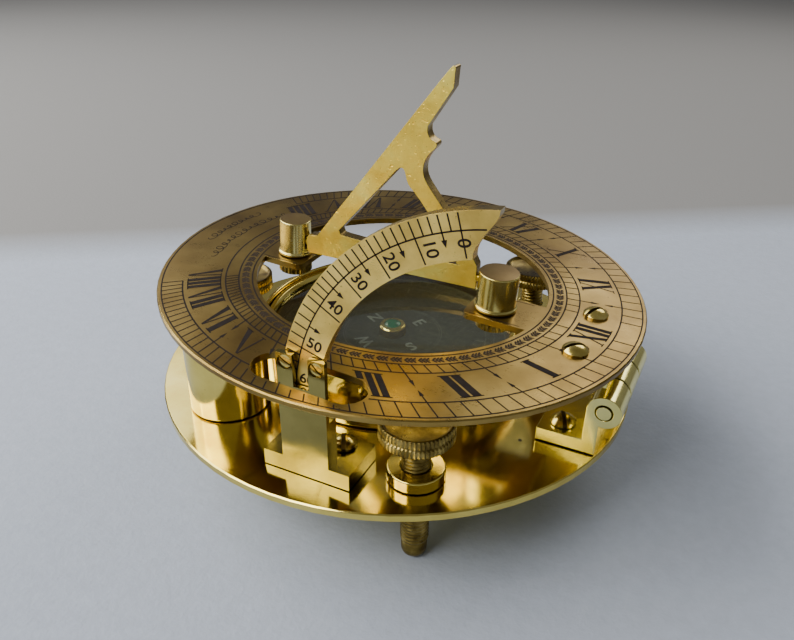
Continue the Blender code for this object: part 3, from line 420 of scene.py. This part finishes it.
def threaded(bottom, tipHeight, top, radius, pitch, depth, center):
    # radius falls by depth times a triangle wave of height over pitch less the turn round the axis
    turns, rows = 48, int((top - bottom - tipHeight) / pitch * 8)
    a = np.linspace(0.0, math.tau, turns, endpoint=False)
    z = np.linspace(bottom + tipHeight, top, rows)
    phase = z[:, None] / pitch - a[None, :] / math.tau
    wave = np.abs((phase % 1.0) * 2.0 - 1.0)
    fade = np.clip((z - z[0]) / 0.6, 0.0, 1.0)[:, None]
    r = radius - depth * (wave * fade + (1.0 - fade) * 0.6)
    body = np.stack([r * np.cos(a), r * np.sin(a), z[:, None] + 0 * a], -1)
    tip, noseRise = radius - 0.3, 2.2
    v = np.linspace(0.0, math.pi / 2.0, 9)[:, None]
    nose = np.concatenate([tip * 0.35 + tip * 0.65 * np.sin(v), bottom + noseRise - noseRise * np.cos(v)], 1)
    neck = [(tip, bottom + tipHeight - 0.7), (tip - 0.25, bottom + tipHeight - 0.35)]
    cap = np.concatenate([[(0.0, bottom)], nose, neck])
    lower = latheGrid(cap, turns)
    upper = latheGrid([(0.0, top)], turns)
    grid = np.concatenate([lower, body, upper]) + np.array([*center, 0.0])
    return grid, gridFaces(len(grid), turns)


def knurled(radius, bands, teeth, depth, steps, profileInside, profileOver, center):
    # straight knurl: radius falls by depth times a rounded triangle wave of the angle, inside each band only
    a = np.linspace(0.0, math.tau, steps, endpoint=False)
    wave = np.clip(np.abs(((a * teeth / math.tau) % 1.0) * 2.0 - 1.0) * 1.6 - 0.45, 0.0, 1.0)
    rows = [latheGrid(profileOver, steps)]
    for high, low in bands:
        rises = ((high, 0.0, 0.30), (high - 0.18, 1.0, 0.0), (low + 0.18, 1.0, 0.0), (low, 0.0, 0.30))
        for z, share, cut in rises:
            r = radius - cut - depth * wave * share
            rows.append(np.stack([r * np.cos(a), r * np.sin(a), z + 0 * a], -1)[None])
        if (high, low) != bands[-1]:
            rows.append(latheGrid([(radius - 0.55, low - 0.02)], steps))
    rows.append(latheGrid(profileInside, steps))
    grid = np.concatenate(rows) + np.array([*center, 0.0])
    return grid, gridFaces(len(grid), steps)


def buildFeet():
    for number, azimuth in enumerate(foot["azimuths"], 1):
        a = math.radians(azimuth)
        center = (foot["circle"] * math.cos(a), foot["circle"] * math.sin(a))
        stud, head, bush = (f"{kind}_{number}" for kind in ("levelling_screw", "thumb_head", "foot_bush"))
        bottom, top = (corner.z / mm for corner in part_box(head))
        grid, faces = threaded(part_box(stud)[0].z / mm, foot["tip"], bottom + 0.15, foot["studRadius"],
                               foot["pitch"], foot["threadDepth"], center)
        makePiece(f"levelling_screw_{number}_fine", grid, faces, finishes["dull"], f"stud_{number}",
                  [stud], sharp=50.0)
        r, middle, hub = foot["headRadius"], (top + bottom) / 2.0, foot["studRadius"] - 0.2
        over = [(0.0, top - 0.9), (r - 1.7, top - 0.9), (r - 1.15, top - 0.6), (r - 0.75, top - 0.05),
                (r - 0.4, top), (r - 0.3, top - 0.05)]
        under = [(r - 0.5, bottom), (hub, bottom), (hub, bottom + 0.6), (0.0, bottom + 0.6)]
        bands = [(top - 0.1, middle + 0.22), (middle - 0.22, bottom + 0.1)]
        grid, faces = knurled(r, bands, foot["teeth"], foot["toothDepth"], foot["headSteps"],
                              under, over, center)
        makePiece(f"thumb_head_{number}_fine", grid, faces, finishes["dull"], f"head_{number}", [head],
                  sharp=40.0)
        refined(bush, finishes["polished"], "base", 0.0002)


buildFeet()
print("levelling feet made")

# compass
compass = {"center": (-2.0, 1.0), "radius": 36.0, "inner": 33.2, "ledge": 10.3, "top": 14.5,
           "rebate": 34.8, "floor": 1.2, "ringInner": 32.6, "cardRadius": 31.5, "northAzimuth": 150.0,
           "letterRadius": 8.7, "letterSize": 5.0, "jewelRise": 0.9}
compassPlace = (*compass["center"], 0.0)


def textQuads(words, size, bold=0.0):
    # lettering as a thin closed mesh in its own plane, centred on its middle
    curve = bpy.data.curves.new("lettering", "FONT")
    curve.body = words
    curve.size = size
    curve.extrude = 0.04
    curve.offset = bold
    curve.resolution_u = 4
    curve.align_x = "CENTER"
    curve.align_y = "CENTER"
    owner = bpy.data.objects.new("lettering", curve)
    bpy.context.scene.collection.objects.link(owner)
    bpy.context.view_layer.update()
    mesh = bpy.data.meshes.new_from_object(owner.evaluated_get(bpy.context.evaluated_depsgraph_get()))
    co = np.zeros(len(mesh.vertices) * 3)
    mesh.vertices.foreach_get("co", co)
    faces = [list(p.vertices) for p in mesh.polygons]
    bpy.data.objects.remove(owner)
    bpy.data.curves.remove(curve)
    bpy.data.meshes.remove(mesh)
    return co.reshape(-1, 3), faces


def letterPiece(name, parts, finish, body, matrix=None):
    # parts is (points, faces) of several letterings, joined in one mesh
    verts, faces, count = [], [], 0
    for points, own in parts:
        verts.append(points)
        faces += [[i + count for i in face] for face in own]
        count += len(points)
    return makePiece(name, np.concatenate(verts), faces, finish, body, matrix=matrix)


def turnedText(words, size, angle, at, bold=0.0):
    # lettering turned in its plane by angle and moved to a point
    points, faces = textQuads(words, size, bold)
    c, s = math.cos(angle), math.sin(angle)
    flat = points[:, :2] @ np.array([[c, s], [-s, c]]) + np.asarray(at, float)
    return np.concatenate([flat, points[:, 2:]], 1), faces


def radiusAndHeights(node):
    # a turned node's outer radius, its bottom and its top, in mm
    low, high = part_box(node)
    return (high.x - low.x) / 2.0 / mm, low.z / mm, high.z / mm


def buildBowl():
    low, floor = baseTop + 0.3, baseTop + compass["floor"]
    ledge, top = baseTop + compass["ledge"], baseTop + compass["top"]
    r, inner, rebate = compass["radius"], compass["inner"], compass["rebate"]
    wall = [(0.0, floor), (inner, floor), (inner, ledge), (rebate, ledge), (rebate, top - 0.3),
            (rebate + 0.3, top), (r - 0.5, top), (r, top - 0.4), (r, low + 0.3), (r - 0.3, low), (0.0, low)]
    turnedPiece("compass_bowl_fine", wall, compassPlace, finishes["polished"], "base", ["compass_bowl"],
                steps=224)


def buildGlass():
    inner, mouth = compass["ringInner"], compass["inner"]
    r, low, high = radiusAndHeights("glass_ring")
    ring = [(inner, low), (r, low), (r, high - 0.4), (r - 0.4, high), (mouth, high - 0.1), (inner, low + 0.3)]
    turnedPiece("glass_ring_fine", ring, compassPlace, finishes["polished"], "base", ["glass_ring"],
                steps=224, closed=True, soft=0.12)
    r, low, high = radiusAndHeights("compass_glass")
    pane = [(0.0, high), (r - 0.3, high), (r, high - 0.25), (r, low + 0.25), (r - 0.3, low), (0.0, low)]
    turnedPiece("compass_glass_fine", pane, compassPlace, finishes["glass"], "base", ["compass_glass"],
                steps=192, soft=0.1)


def buildCard():
    r = compass["cardRadius"]
    low, high = radiusAndHeights("compass_card")[1:]
    disc = [(2.0, high), (r - 0.1, high), (r, high - 0.1), (r, low + 0.1), (r - 0.1, low), (2.0, low)]
    turnedPiece("compass_card_fine", disc, compassPlace, finishes["card"], "card", ["compass_card"],
                steps=160, soft=0.05, closed=True)
    north = math.radians(compass["northAzimuth"])
    circles = ((30.6, 0.30), (27.6, 0.18), (25.4, 0.18), (13.4, 0.22), (12.8, 0.12))
    lines = [ringQuads(radius, width, parts=120) for radius, width in circles]
    for count, inside, outside, width in ((72, 27.6, 30.6, 0.22), (16, 22.5, 25.4, 0.5)):
        a = north + np.arange(count) * math.tau / count
        ray = np.stack([np.cos(a), np.sin(a)], 1)
        lines.append(bars(ray * inside, ray * outside, width))
    verts, faces = prisms(np.concatenate(lines), high - 0.02, high + 0.03)
    shift = np.eye(4)
    shift[:3, 3] = compassPlace
    makePiece("compass_card_print", verts, faces, finishes["cardPrint"], "card", matrix=shift, weld=False)
    letters = []
    for k, word in enumerate(("N", "W", "S", "E")):
        a = north + k * math.pi / 2.0
        at = np.array([math.cos(a), math.sin(a)]) * compass["letterRadius"]
        letters.append(turnedText(word, compass["letterSize"], a - math.pi / 2.0, at, 0.12))
    shift[2, 3] = high + 0.03
    letterPiece("compass_card_letters", letters, finishes["cardLetter"], "card", shift)


def buildCap():
    r, low, high = radiusAndHeights("card_cap")
    cap = [(1.3, low), (2.0, low), (2.0, low + 0.6), (r, low + 0.8), (r, high - 0.5), (r - 0.4, high),
           (2.3, high), (1.3, high - 0.2)]
    turnedPiece("card_cap_fine", cap, compassPlace, finishes["screw"], "card", ["card_cap"],
                steps=72, soft=0.15, closed=True)
    r, low, high = radiusAndHeights("cap_jewel")
    rise = compass["jewelRise"]
    quarter = np.linspace(0.0, math.pi / 2.0, 9)
    dome = [(r * math.sin(a), high - rise + rise * math.cos(a)) for a in quarter]
    dome += [(r - 0.1, low), (0.0, low)]
    grid = latheGrid(dome, 48, compassPlace)
    makePiece("cap_jewel_fine", grid, gridFaces(len(dome), 48), finishes["jewel"], "card", ["cap_jewel"])


def buildPivot():
    refined("pivot_pin", finishes["steel"], "base", 0.00005)
    for number in (1, 2):
        refined(f"card_magnet_{number}", finishes["magnet"], "card", 0.0001)


buildBowl()
buildGlass()
buildCard()
buildCap()
buildPivot()
print("compass made")

# screw heads
screw = {"slot": 1.0, "slotDepth": 1.1, "edge": 0.5, "height": 1.9, "radius": 3.1,
         "hingeX": 51.2, "apart": 9.7}


def slottedHead(radius, height, slot, depth, edge, columns=22, rows=25):
    # domed disc cut across by a slot: height falls with the square of the distance from the middle,
    # and columns inside the slot are lowered by its depth
    half = slot / 2.0
    side = -radius * np.cos(np.linspace(0.0, 1.0, columns) * math.acos(half / radius))
    x = np.concatenate([side, [-half + 0.001, half - 0.001], -side[::-1]])
    low = np.zeros(len(x), bool)
    low[columns:columns + 2] = True
    span = np.sqrt(np.clip(radius ** 2 - x ** 2, 0.0, None))
    v = np.sin(np.linspace(-0.5, 0.5, rows) * math.pi)
    y = span[:, None] * v[None, :]
    ratio = (x[:, None] ** 2 + y ** 2) / radius ** 2
    z = edge + (height - edge) * (1.0 - ratio ** 1.3)
    z = np.where(low[:, None], height - depth, z)
    top = np.stack([np.broadcast_to(x[:, None], y.shape), y, z], -1)
    grid = np.concatenate([top[:, :1] * (1, 1, 0), top, top[:, -1:] * (1, 1, 0)], 1)     # down to the seat
    count = grid.shape[1]
    faces = gridFaces(len(x), count, False)
    i = np.arange(len(x) - 1)
    floor = np.stack([i * count, (i + 1) * count, (i + 1) * count + count - 1, i * count + count - 1], 1)
    # the slot's faces get the second finish, the painted slot shade
    marks = np.zeros(len(faces) + len(floor), int)
    marks[(columns - 1) * (count - 1):(columns + 2) * (count - 1)] = 1
    return grid.reshape(-1, 3), np.concatenate([faces, floor]), marks


def screwPiece(node, at, turn, radius, height, matrix, body,
               slot=screw["slot"], depth=screw["slotDepth"], edge=screw["edge"]):
    # the head is turned by its slot's angle and stands on the face that matrix carries it to
    points, faces, marks = slottedHead(radius, height, slot, depth, edge)
    c, s = math.cos(turn), math.sin(turn)
    points = points @ np.array([[c, s, 0.0], [-s, c, 0.0], [0.0, 0.0, 1.0]]) + np.asarray(at, float)
    makePiece(f"{node}_head", points, faces, finishes["screw"], body, [node], matrix,
              30.0, True, finishes["slotShade"], marks)


def screwBox(node):
    # a screw's lower and upper corner and its middle, in mm
    low, high = (np.array(corner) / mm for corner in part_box(node))
    return low, high, (low + high) / 2.0


def buildScrews():
    r, tall = screw["radius"], screw["height"]
    for number, side, dialTurn, baseTurn in ((1, -1.0, 2.2, 0.4), (2, 1.0, 2.5, 2.6)):
        x, y = screw["hingeX"], noonY + side * screw["apart"]
        screwPiece(f"hinge_dial_screw_{number}", (x, y, 0.02), dialTurn, r, tall, dialFrame, "dial")
        top = screwBox(f"hinge_base_screw_{number}")[1][2]
        screwPiece(f"hinge_base_screw_{number}", (x, y, top - tall), baseTurn, r, tall, None, "base")
    for node, turn in (("arc_post_screw_1", 1.2), ("arc_post_screw_2", 0.5)):
        low, high, middle = screwBox(node)
        at = (middle[0], middle[1], high[2] - tall)
        screwPiece(node, at, turn, (high[0] - low[0]) / 2.0, tall, None, "base")
    for node, turn in (("arc_clamp_screw_1", 1.1), ("arc_clamp_screw_2", 0.8)):
        low, high, middle = screwBox(node)
        out = frameMatrix((1, 0, 0), (0, 0, 1), (0, -1, 0), (middle[0], low[1] + 0.45, middle[2]))
        radius = (high[0] - low[0]) / 2.0
        screwPiece(node, (0.0, 0.0, 0.0), turn, radius, 0.5, out, "base", slot=0.42, depth=0.3, edge=0.40)
    for node in ("pillar_screw", "bowl_screw_1", "bowl_screw_2", "bowl_screw_3"):
        refined(node, finishes["screw"], "base", 0.00012)


buildScrews()
print("screws made")

# post, arc and hinge
def buildStand():
    refined("arc_post", finishes["post"], "base", 0.00025)
    refined("hinge_base_leaf", finishes["pale"], "base", 0.00022)
    refined("hinge_dial_leaf", finishes["pale"], "dial", 0.00022)
    refined("hinge_pin", finishes["pale"], "base", 0.00012)
    refined("latitude_arc", finishes["arc"], "base", 0.00035, paintedSideShade=finishes["rim"])


buildStand()

arc = {"center": (50.0, baseTop + 18.8), "outer": 51.4, "inner": 42.5, "line": 47.9, "face": -53.7,
       "degrees": (0.0, 40.0, 50.0, 60.0), "angles": (75.3, 31.5, 17.2, 5.5), "stroke": 0.32, "text": 3.55}


def arcAngle(latitude):
    # angle above the level line towards -X for a latitude mark
    return math.radians(np.interp(latitude, arc["degrees"], arc["angles"]))


def arcPoint(angle, radius):
    return np.array([-radius * math.cos(angle), radius * math.sin(angle)])


def buildArcEngraving():
    w = arc["stroke"]
    a0, a1 = math.pi - math.radians(80.9), math.pi + math.radians(1.5)
    quads = [ringQuads(arc["line"], w, a0, a1, 90)]
    for mark in np.arange(0.0, 61.0, 2.0):
        a = arcAngle(mark)
        inside = arc["inner"] + 0.3 if mark % 10 == 0 else arc["line"]
        quads.append(bars([arcPoint(a, inside)], [arcPoint(a, arc["outer"] - 0.25)], w))
    for mark in (4.0, 14.0, 24.0, 34.0, 45.0):
        a = arcAngle(mark)
        quads.append(bars([arcPoint(a, arc["line"])], [arcPoint(a, 46.3)], w))
        quads.append(bars([arcPoint(a, 46.5)], [arcPoint(a, 45.1)], 1.15, 0.05))
    face = frameMatrix((1, 0, 0), (0, 0, 1), (0, -1, 0), (arc["center"][0], arc["face"], arc["center"][1]))
    verts, faces = prisms(np.concatenate(quads), -0.05, 0.03)
    makePiece("latitude_arc_scale", verts, faces, finishes["arcFill"], "base", matrix=face, weld=False)
    letters = []
    for mark in range(0, 70, 10):
        a = arcAngle(mark) + (0.0 if mark == 0 else 2.15 / 45.4)
        at = arcPoint(a, 45.4 if mark else 45.6)
        letters.append(turnedText(str(mark), arc["text"], -a, at, 0.05))
    letterPiece("latitude_arc_numbers", letters, finishes["arcFill"], "base", face)


buildArcEngraving()
print("post, arc and hinge made")

# dial
dial = {"toeX": -18.7, "toeY": noonY - 0.27, "gap": 3.23, "start": -2.07, "perHour": 17.05,
        "center": (1.3, -0.7), "border": 61.55, "scaleIn": 56.5, "scaleOut": 61.55, "innerIn": 42.7,
        "innerOut": 46.0, "leafIn": 39.3, "numberIn": 47.1, "numberOut": 55.4, "line": 0.38, "tick": 0.32}
# each hour's letters, the width of its V or X, and the thickness of its stems
numerals = {1: ("I", 0, 1.7), 2: ("II", 0, 1.9), 3: ("III", 0, 1.55), 4: ("IIII", 0, 1.5),
            5: ("V", 6.0, 1.8), 6: ("VI", 4.0, 1.7), 7: ("VII", 3.5, 1.45), 8: ("VIII", 3.3, 1.3),
            -1: ("XI", 4.2, 1.5), -2: ("X", 5.2, 1.5), -3: ("IX", 4.2, 1.5), -4: ("VIII", 3.2, 1.3),
            -5: ("VII", 3.5, 1.4), -6: ("VI", 4.0, 1.6), -7: ("V", 5.6, 1.7), -8: ("IIII", 0, 1.5),
            0: ("XII", 3.8, 1.35)}


def hourRay(hour):
    # the two fans of hour lines spring from either side of the gnomon's toe
    side = np.sign(hour)
    origin = np.array([dial["toeX"], dial["toeY"] - side * dial["gap"]])
    angle = -side * math.radians(dial["start"] * (1.0 if hour > 0 else -1.0) + dial["perHour"] * abs(hour))
    return origin, np.array([math.cos(angle), math.sin(angle)])


def dialPoint(hour, radius, offset=0.0):
    # where an hour's line crosses a circle, moved round that circle by offset
    origin, ray = hourRay(hour)
    origin = origin - np.array(dial["center"])
    along = origin @ ray
    reach = -along + np.sqrt(along ** 2 - origin @ origin + np.asarray(radius, float) ** 2)
    spot = origin + np.atleast_1d(reach)[:, None] * ray
    a = np.arctan2(spot[:, 1], spot[:, 0]) + np.asarray(offset, float) / radius
    return np.stack([radius * np.cos(a), radius * np.sin(a)], 1)


def stem(hour, offsetIn, offsetOut, widthIn, widthOut, rIn, rOut, parts=3):
    # a numeral's stroke: it follows the hour line and its ends follow the circles
    r = np.linspace(rIn, rOut, parts + 1)
    t = (r - dial["numberIn"]) / (dial["numberOut"] - dial["numberIn"])
    middle = offsetIn + (offsetOut - offsetIn) * t
    half = (widthIn + (widthOut - widthIn) * t) / 2.0
    a, b = dialPoint(hour, r, middle - half), dialPoint(hour, r, middle + half)
    return np.stack([a[:-1], b[:-1], b[1:], a[1:]], 1)


def numeralQuads(hour, word, wide, thick):
    # letters stand side by side round the ring, feet outwards
    rIn, rOut, serif, barHalf = dial["numberIn"], dial["numberOut"], 0.42, 0.14
    widths = [thick if c == "I" else wide for c in word]
    gap = 0.55
    at = -(sum(widths) + gap * (len(word) - 1)) / 2.0
    quads = []
    for letter, width in zip(word, widths):
        middle = at + width / 2.0
        if letter == "I":
            quads.append(stem(hour, middle, middle, thick, thick, rIn, rOut))
            ends = [(rIn, middle, thick), (rOut, middle, thick)]
        elif letter == "V":
            quads.append(stem(hour, at + thick * 0.45, middle - 0.1, thick, 0.5, rIn, rOut))
            quads.append(stem(hour, at + width - 0.2, middle + 0.1, 0.42, 0.36, rIn, rOut))
            ends = [(rIn, at + thick * 0.45, thick), (rIn, at + width - 0.2, 0.6)]
        else:
            left, right = at + thick * 0.4, at + width - thick * 0.4
            quads.append(stem(hour, left, right, thick * 0.9, thick * 0.9, rIn, rOut, 4))
            quads.append(stem(hour, at + width - 0.2, at + 0.2, 0.4, 0.4, rIn, rOut, 4))
            ends = [(rIn, left, thick), (rIn, at + width - 0.2, 0.6), (rOut, at + 0.2, 0.6),
                    (rOut, right, thick)]
        for radius, where, span in ends:
            bar = radius + (barHalf if radius == rIn else -barHalf)
            reach = span + 2 * serif
            quads.append(stem(hour, where, where, reach, reach, bar - barHalf, bar + barHalf, 1))
        at += width + gap
    return np.concatenate(quads)


def azimuth(hour, radius):
    spot = dialPoint(hour, radius)[0]
    return math.atan2(spot[1], spot[0])


slotBox = {"center": (5.0, -53.9), "half": (13.7, 5.0), "margin": 0.15}


def clearOfSlot(quads):
    # leaves out strokes that would hang over the arc's slot
    middle = quads.mean(1) + np.array(dial["center"]) - np.array(slotBox["center"])
    reach = np.array(slotBox["half"]) + slotBox["margin"]
    straight = reach[0] - reach[1]
    over = np.hypot(np.clip(np.abs(middle[:, 0]) - straight, 0.0, None), middle[:, 1]) < reach[1]
    return quads[~over]


def leafChain():
    # laurel chain: a stem with three pairs of leaves, repeated round the band
    count, radius = 84, (dial["leafIn"] + dial["innerIn"]) / 2.0
    unit = [bars([(-1.4, 0.0)], [(1.4, 0.0)], 0.16)]
    for start in (-1.3, -0.5, 0.3):
        for side in (-1.0, 1.0):
            unit.append(bars([(start, 0.0)], [(start + 0.75, side * 0.62)], 0.18, 0.62))
            unit.append(bars([(start + 0.75, side * 0.62)], [(start + 1.0, side * 1.02)], 0.62, 0.08))
    unit = np.concatenate(unit)
    a = (np.arange(count) + 0.5) * math.tau / count
    turn = a[:, None, None] + unit[None, :, :, 0] / radius
    r = radius + unit[None, :, :, 1]
    return np.stack([r * np.cos(turn), r * np.sin(turn)], -1).reshape(-1, 4, 2)


def scrollOrnament():
    # a plain engraved scroll in the empty sector: a loop rolled along an arc,
    # its angle less a sine and its radius plus a cosine
    made = []
    for radius, start, end, loops, height in ((56.6, 167.0, 189.0, 9, 1.0), (51.4, 158.0, 200.0, 14, 1.15)):
        t = np.linspace(0.0, 1.0, loops * 18)
        swell = height * (0.75 + 0.25 * np.cos(t * loops * math.tau / 4.0))
        a = np.radians(start + (end - start) * t) - 0.026 * np.sin(t * loops * math.tau) * swell
        r = radius + swell * np.cos(t * loops * math.tau)
        width = 0.16 + 0.14 * np.abs(np.sin(t * loops * math.tau))
        made.append(pathQuads(np.stack([r * np.cos(a), r * np.sin(a)], 1), width))
    return np.concatenate(made)


def buildDial():
    refined("dial_plate", finishes["dial"], "dial", 0.00022, edgeWearAndSheen=finishes["screw"])
    w, tick = dial["line"], dial["tick"]
    early, late = azimuth(-8.0, dial["scaleIn"]), azimuth(8.0, dial["scaleIn"])
    circles = (("border", 0.34), ("innerOut", w), ("innerIn", w), ("leafIn", w))
    quads = [ringQuads(dial[circle], width) for circle, width in circles]
    quads.append(ringQuads(dial["scaleIn"], w, late, early, 220))
    for step in range(-48, 49):
        hour = step / 6.0
        for inside, outside in ((dial["scaleIn"], dial["scaleOut"]), (dial["innerIn"], dial["innerOut"])):
            ends = dialPoint(hour, np.array([inside, outside]))
            quads.append(split(bars(ends[:1], ends[1:], tick), 4))
        if step % 3 == 0 and step % 6 and abs(hour) < 6:
            for stops in ((46.0, 48.8, 50.9), (56.4, 54.2, 52.2)):
                ends = dialPoint(hour, np.array(stops))
                quads.append(bars(ends[:1], ends[1:2], tick))
                quads.append(bars(ends[1:2], ends[2:], 0.95, 0.05))
    for hour, (word, wide, thick) in numerals.items():
        quads.append(numeralQuads(float(hour), word, wide, thick))
    for start, end in ((-36.5, -26.0), (23.5, 36.5)):
        for y in (-10.0, 2.0):
            quads.append(bars([(start, y)], [(end, y)], 0.2) - np.array(dial["center"]))
    quads.append(scrollOrnament())
    ringFrame = dialFrame @ frameMatrix((1, 0, 0), (0, 1, 0), (0, 0, 1), (*dial["center"], 0.0))
    verts, faces = prisms(clearOfSlot(np.concatenate(quads)), -0.05, 0.03)
    makePiece("dial_engraving", verts, faces, finishes["fill"], "dial", matrix=ringFrame, weld=False)
    verts, faces = prisms(leafChain(), -0.05, 0.025)
    makePiece("dial_leaf_chain", verts, faces, finishes["leaf"], "dial", matrix=ringFrame, weld=False)


buildDial()
print("dial made")

# knobs and gnomon
knob = {"seat": 0.3, "height": 9.5, "flange": 0.6, "nutTop": -1.9, "nutHeight": 3.2, "nutRadius": 4.5,
        "nutTeeth": 24, "nutDepth": 0.45, "nutSteps": 192}


def buildKnobs():
    low, nutTop, nutLow = knob["seat"], knob["nutTop"], knob["nutTop"] - knob["nutHeight"]
    top, rim = low + knob["height"], low + knob["flange"]
    over = [(1.9, nutTop), (3.6, nutTop), (4.1, nutTop - 0.02)]
    under = [(3.9, nutLow), (1.9, nutLow), (1.9, nutTop)]
    for name, x, r in (("south", -30.2, 4.2), ("north", 28.2, 5.0)):
        place = (x, noonY, 0.0)
        side = [(0.0, top - 0.02), (r - 0.15, top - 0.02), (r, top - 0.25), (r, rim + 0.25), (r + 0.4, rim),
                (r + 0.4, low), (0.0, low)]
        turnedPiece(f"knob_{name}_fine", side, place, finishes["satin"], "dial", [f"knob_{name}"], dialFrame,
                    112, 0.15)
        # the top face disc takes the painted shade of the knob top
        face = [(0.0, top), (r - 0.2, top), (r - 0.12, top - 0.12), (0.0, top - 0.12)]
        turnedPiece(f"knob_{name}_face", face, place, finishes["knobTopShade"], "dial", (), dialFrame,
                    96, 0.03)
        grid, faces = knurled(knob["nutRadius"], [(nutTop - 0.1, nutLow + 0.1)], knob["nutTeeth"],
                              knob["nutDepth"], knob["nutSteps"], under, over, (x, noonY))
        makePiece(f"knob_nut_{name}_fine", grid, faces, finishes["dull"], "dial", [f"knob_nut_{name}"],
                  dialFrame, 40.0)


buildKnobs()
refined("gnomon", finishes["cast"], "gnomon", 0.0006, rounds=3, paintedSideShade=finishes["rim"])
print("knobs and gnomon made")

# floor, light and camera
# behind is the painted shade of the wall, laid on the floor past the edge line
studio = {"floor": (0.405, 0.450, 0.535), "behind": (0.225, 0.222, 0.218), "reach": 8.0,
          "world": (0.62, 0.62, 0.62), "strength": 0.34, "away": (-0.554, 0.832, 0.0), "edge": (0.130, 0.165)}
# each light's place, aim, size, power and color
lights = {
    "window_light": ((-0.78, -0.10, 0.60), (0.0, 0.0, 0.03), (0.9, 0.7), 12.0, (1.0, 0.99, 0.97)),
    "back_light": ((0.17, 0.78, 0.60), (0.0, 0.0, 0.03), (0.58, 0.4), 3.0, (1.0, 0.97, 0.92)),
    "left_light": ((-0.69, 0.38, 0.58), (0.0, 0.0, 0.03), (0.45, 0.35), 0.9, (1.0, 0.98, 0.95)),
    "front_light": ((-0.42, -0.66, 0.66), (0.0, -0.04, 0.0), (0.7, 0.5), 9.0, (1.0, 0.98, 0.94)),
}
view = {"place": (0.0821, -0.1689, 0.1382), "heading": (-0.438, 0.899), "tip": 28.75, "roll": 0.64,
        "lens": 35.37, "sensor": 36.0}


def buildStudio():
    reach = studio["reach"]
    corners = [(-reach, -reach, 0.0), (reach, -reach, 0.0), (reach, reach, 0.0), (-reach, reach, 0.0)]
    mesh = bpy.data.meshes.new("studio_floor")
    mesh.from_pydata(corners, [], [(0, 1, 2, 3)])
    material, tree, shader = nodeTree("paleCloth")
    deep = tuple(c * 0.90 for c in studio["floor"])
    shade = ramp(tree, noise(tree, 260.0, 6.0, rough=0.7), [(0.3, deep), (0.7, studio["floor"])])
    where = tree.nodes.new("ShaderNodeTexCoord")
    behind = tree.nodes.new("ShaderNodeVectorMath")       # how far behind the object a point lies
    behind.operation = "DOT_PRODUCT"
    behind.inputs[1].default_value = studio["away"]
    tree.links.new(where.outputs["Object"], behind.inputs[0])
    # painted shade: past a line behind the object the cloth blends to a darker grey, standing in for the
    # shaded wall behind
    share = spread(tree, behind.outputs["Value"], *studio["edge"], 0.0, 1.0)
    paintedWallShade = blendColors(tree, shade, (*studio["behind"], 1.0), share)
    tree.links.new(paintedWallShade, shader.inputs["Base Color"])
    shader.inputs["Roughness"].default_value = 0.95
    bump(tree, shader, [(noise(tree, 700.0, 5.0), 0.25, 0.0006)])
    mesh.materials.append(material)
    floor = bpy.data.objects.new("studio_floor", mesh)
    bpy.context.scene.collection.objects.link(floor)
    world = bpy.data.worlds.new("studio_world")
    bpy.context.scene.world = world
    world.use_nodes = True
    back = world.node_tree.nodes["Background"]
    back.inputs["Color"].default_value = (*studio["world"], 1.0)
    back.inputs["Strength"].default_value = studio["strength"]


def areaLight(name, at, toward, size, power, color):
    data = bpy.data.lights.new(name, "AREA")
    data.shape = "RECTANGLE"
    data.size, data.size_y = size
    data.energy = power
    data.color = color
    lamp = bpy.data.objects.new(name, data)
    look = np.asarray(toward, float) - np.asarray(at, float)
    look /= np.linalg.norm(look)
    side = np.cross(look, (0.0, 0.0, 1.0))
    side /= np.linalg.norm(side)
    up = np.cross(side, look)
    lamp.matrix_world = Matrix(frameMatrix(side, up, -look, at).tolist())
    bpy.context.scene.collection.objects.link(lamp)


def buildCamera():
    # a level heading, tipped down, then rolled a little
    tip, roll = math.radians(view["tip"]), math.radians(view["roll"])
    forward = np.array([*(np.array(view["heading"]) * math.cos(tip)), -math.sin(tip)])
    forward /= np.linalg.norm(forward)
    right = np.cross(forward, (0.0, 0.0, 1.0))
    right /= np.linalg.norm(right)
    up = np.cross(right, forward)
    right, up = right * math.cos(roll) + up * math.sin(roll), up * math.cos(roll) - right * math.sin(roll)
    data = bpy.data.cameras.new("camera")
    data.lens = view["lens"]
    data.sensor_width = view["sensor"]
    data.clip_start = 0.01
    camera = bpy.data.objects.new("camera", data)
    camera.matrix_world = Matrix(frameMatrix(right, up, -forward, view["place"]).tolist())
    bpy.context.scene.collection.objects.link(camera)
    bpy.context.scene.camera = camera


buildStudio()
for name, (at, toward, size, power, color) in lights.items():
    areaLight(name, at, toward, size, power, color)
buildCamera()
print("studio made")
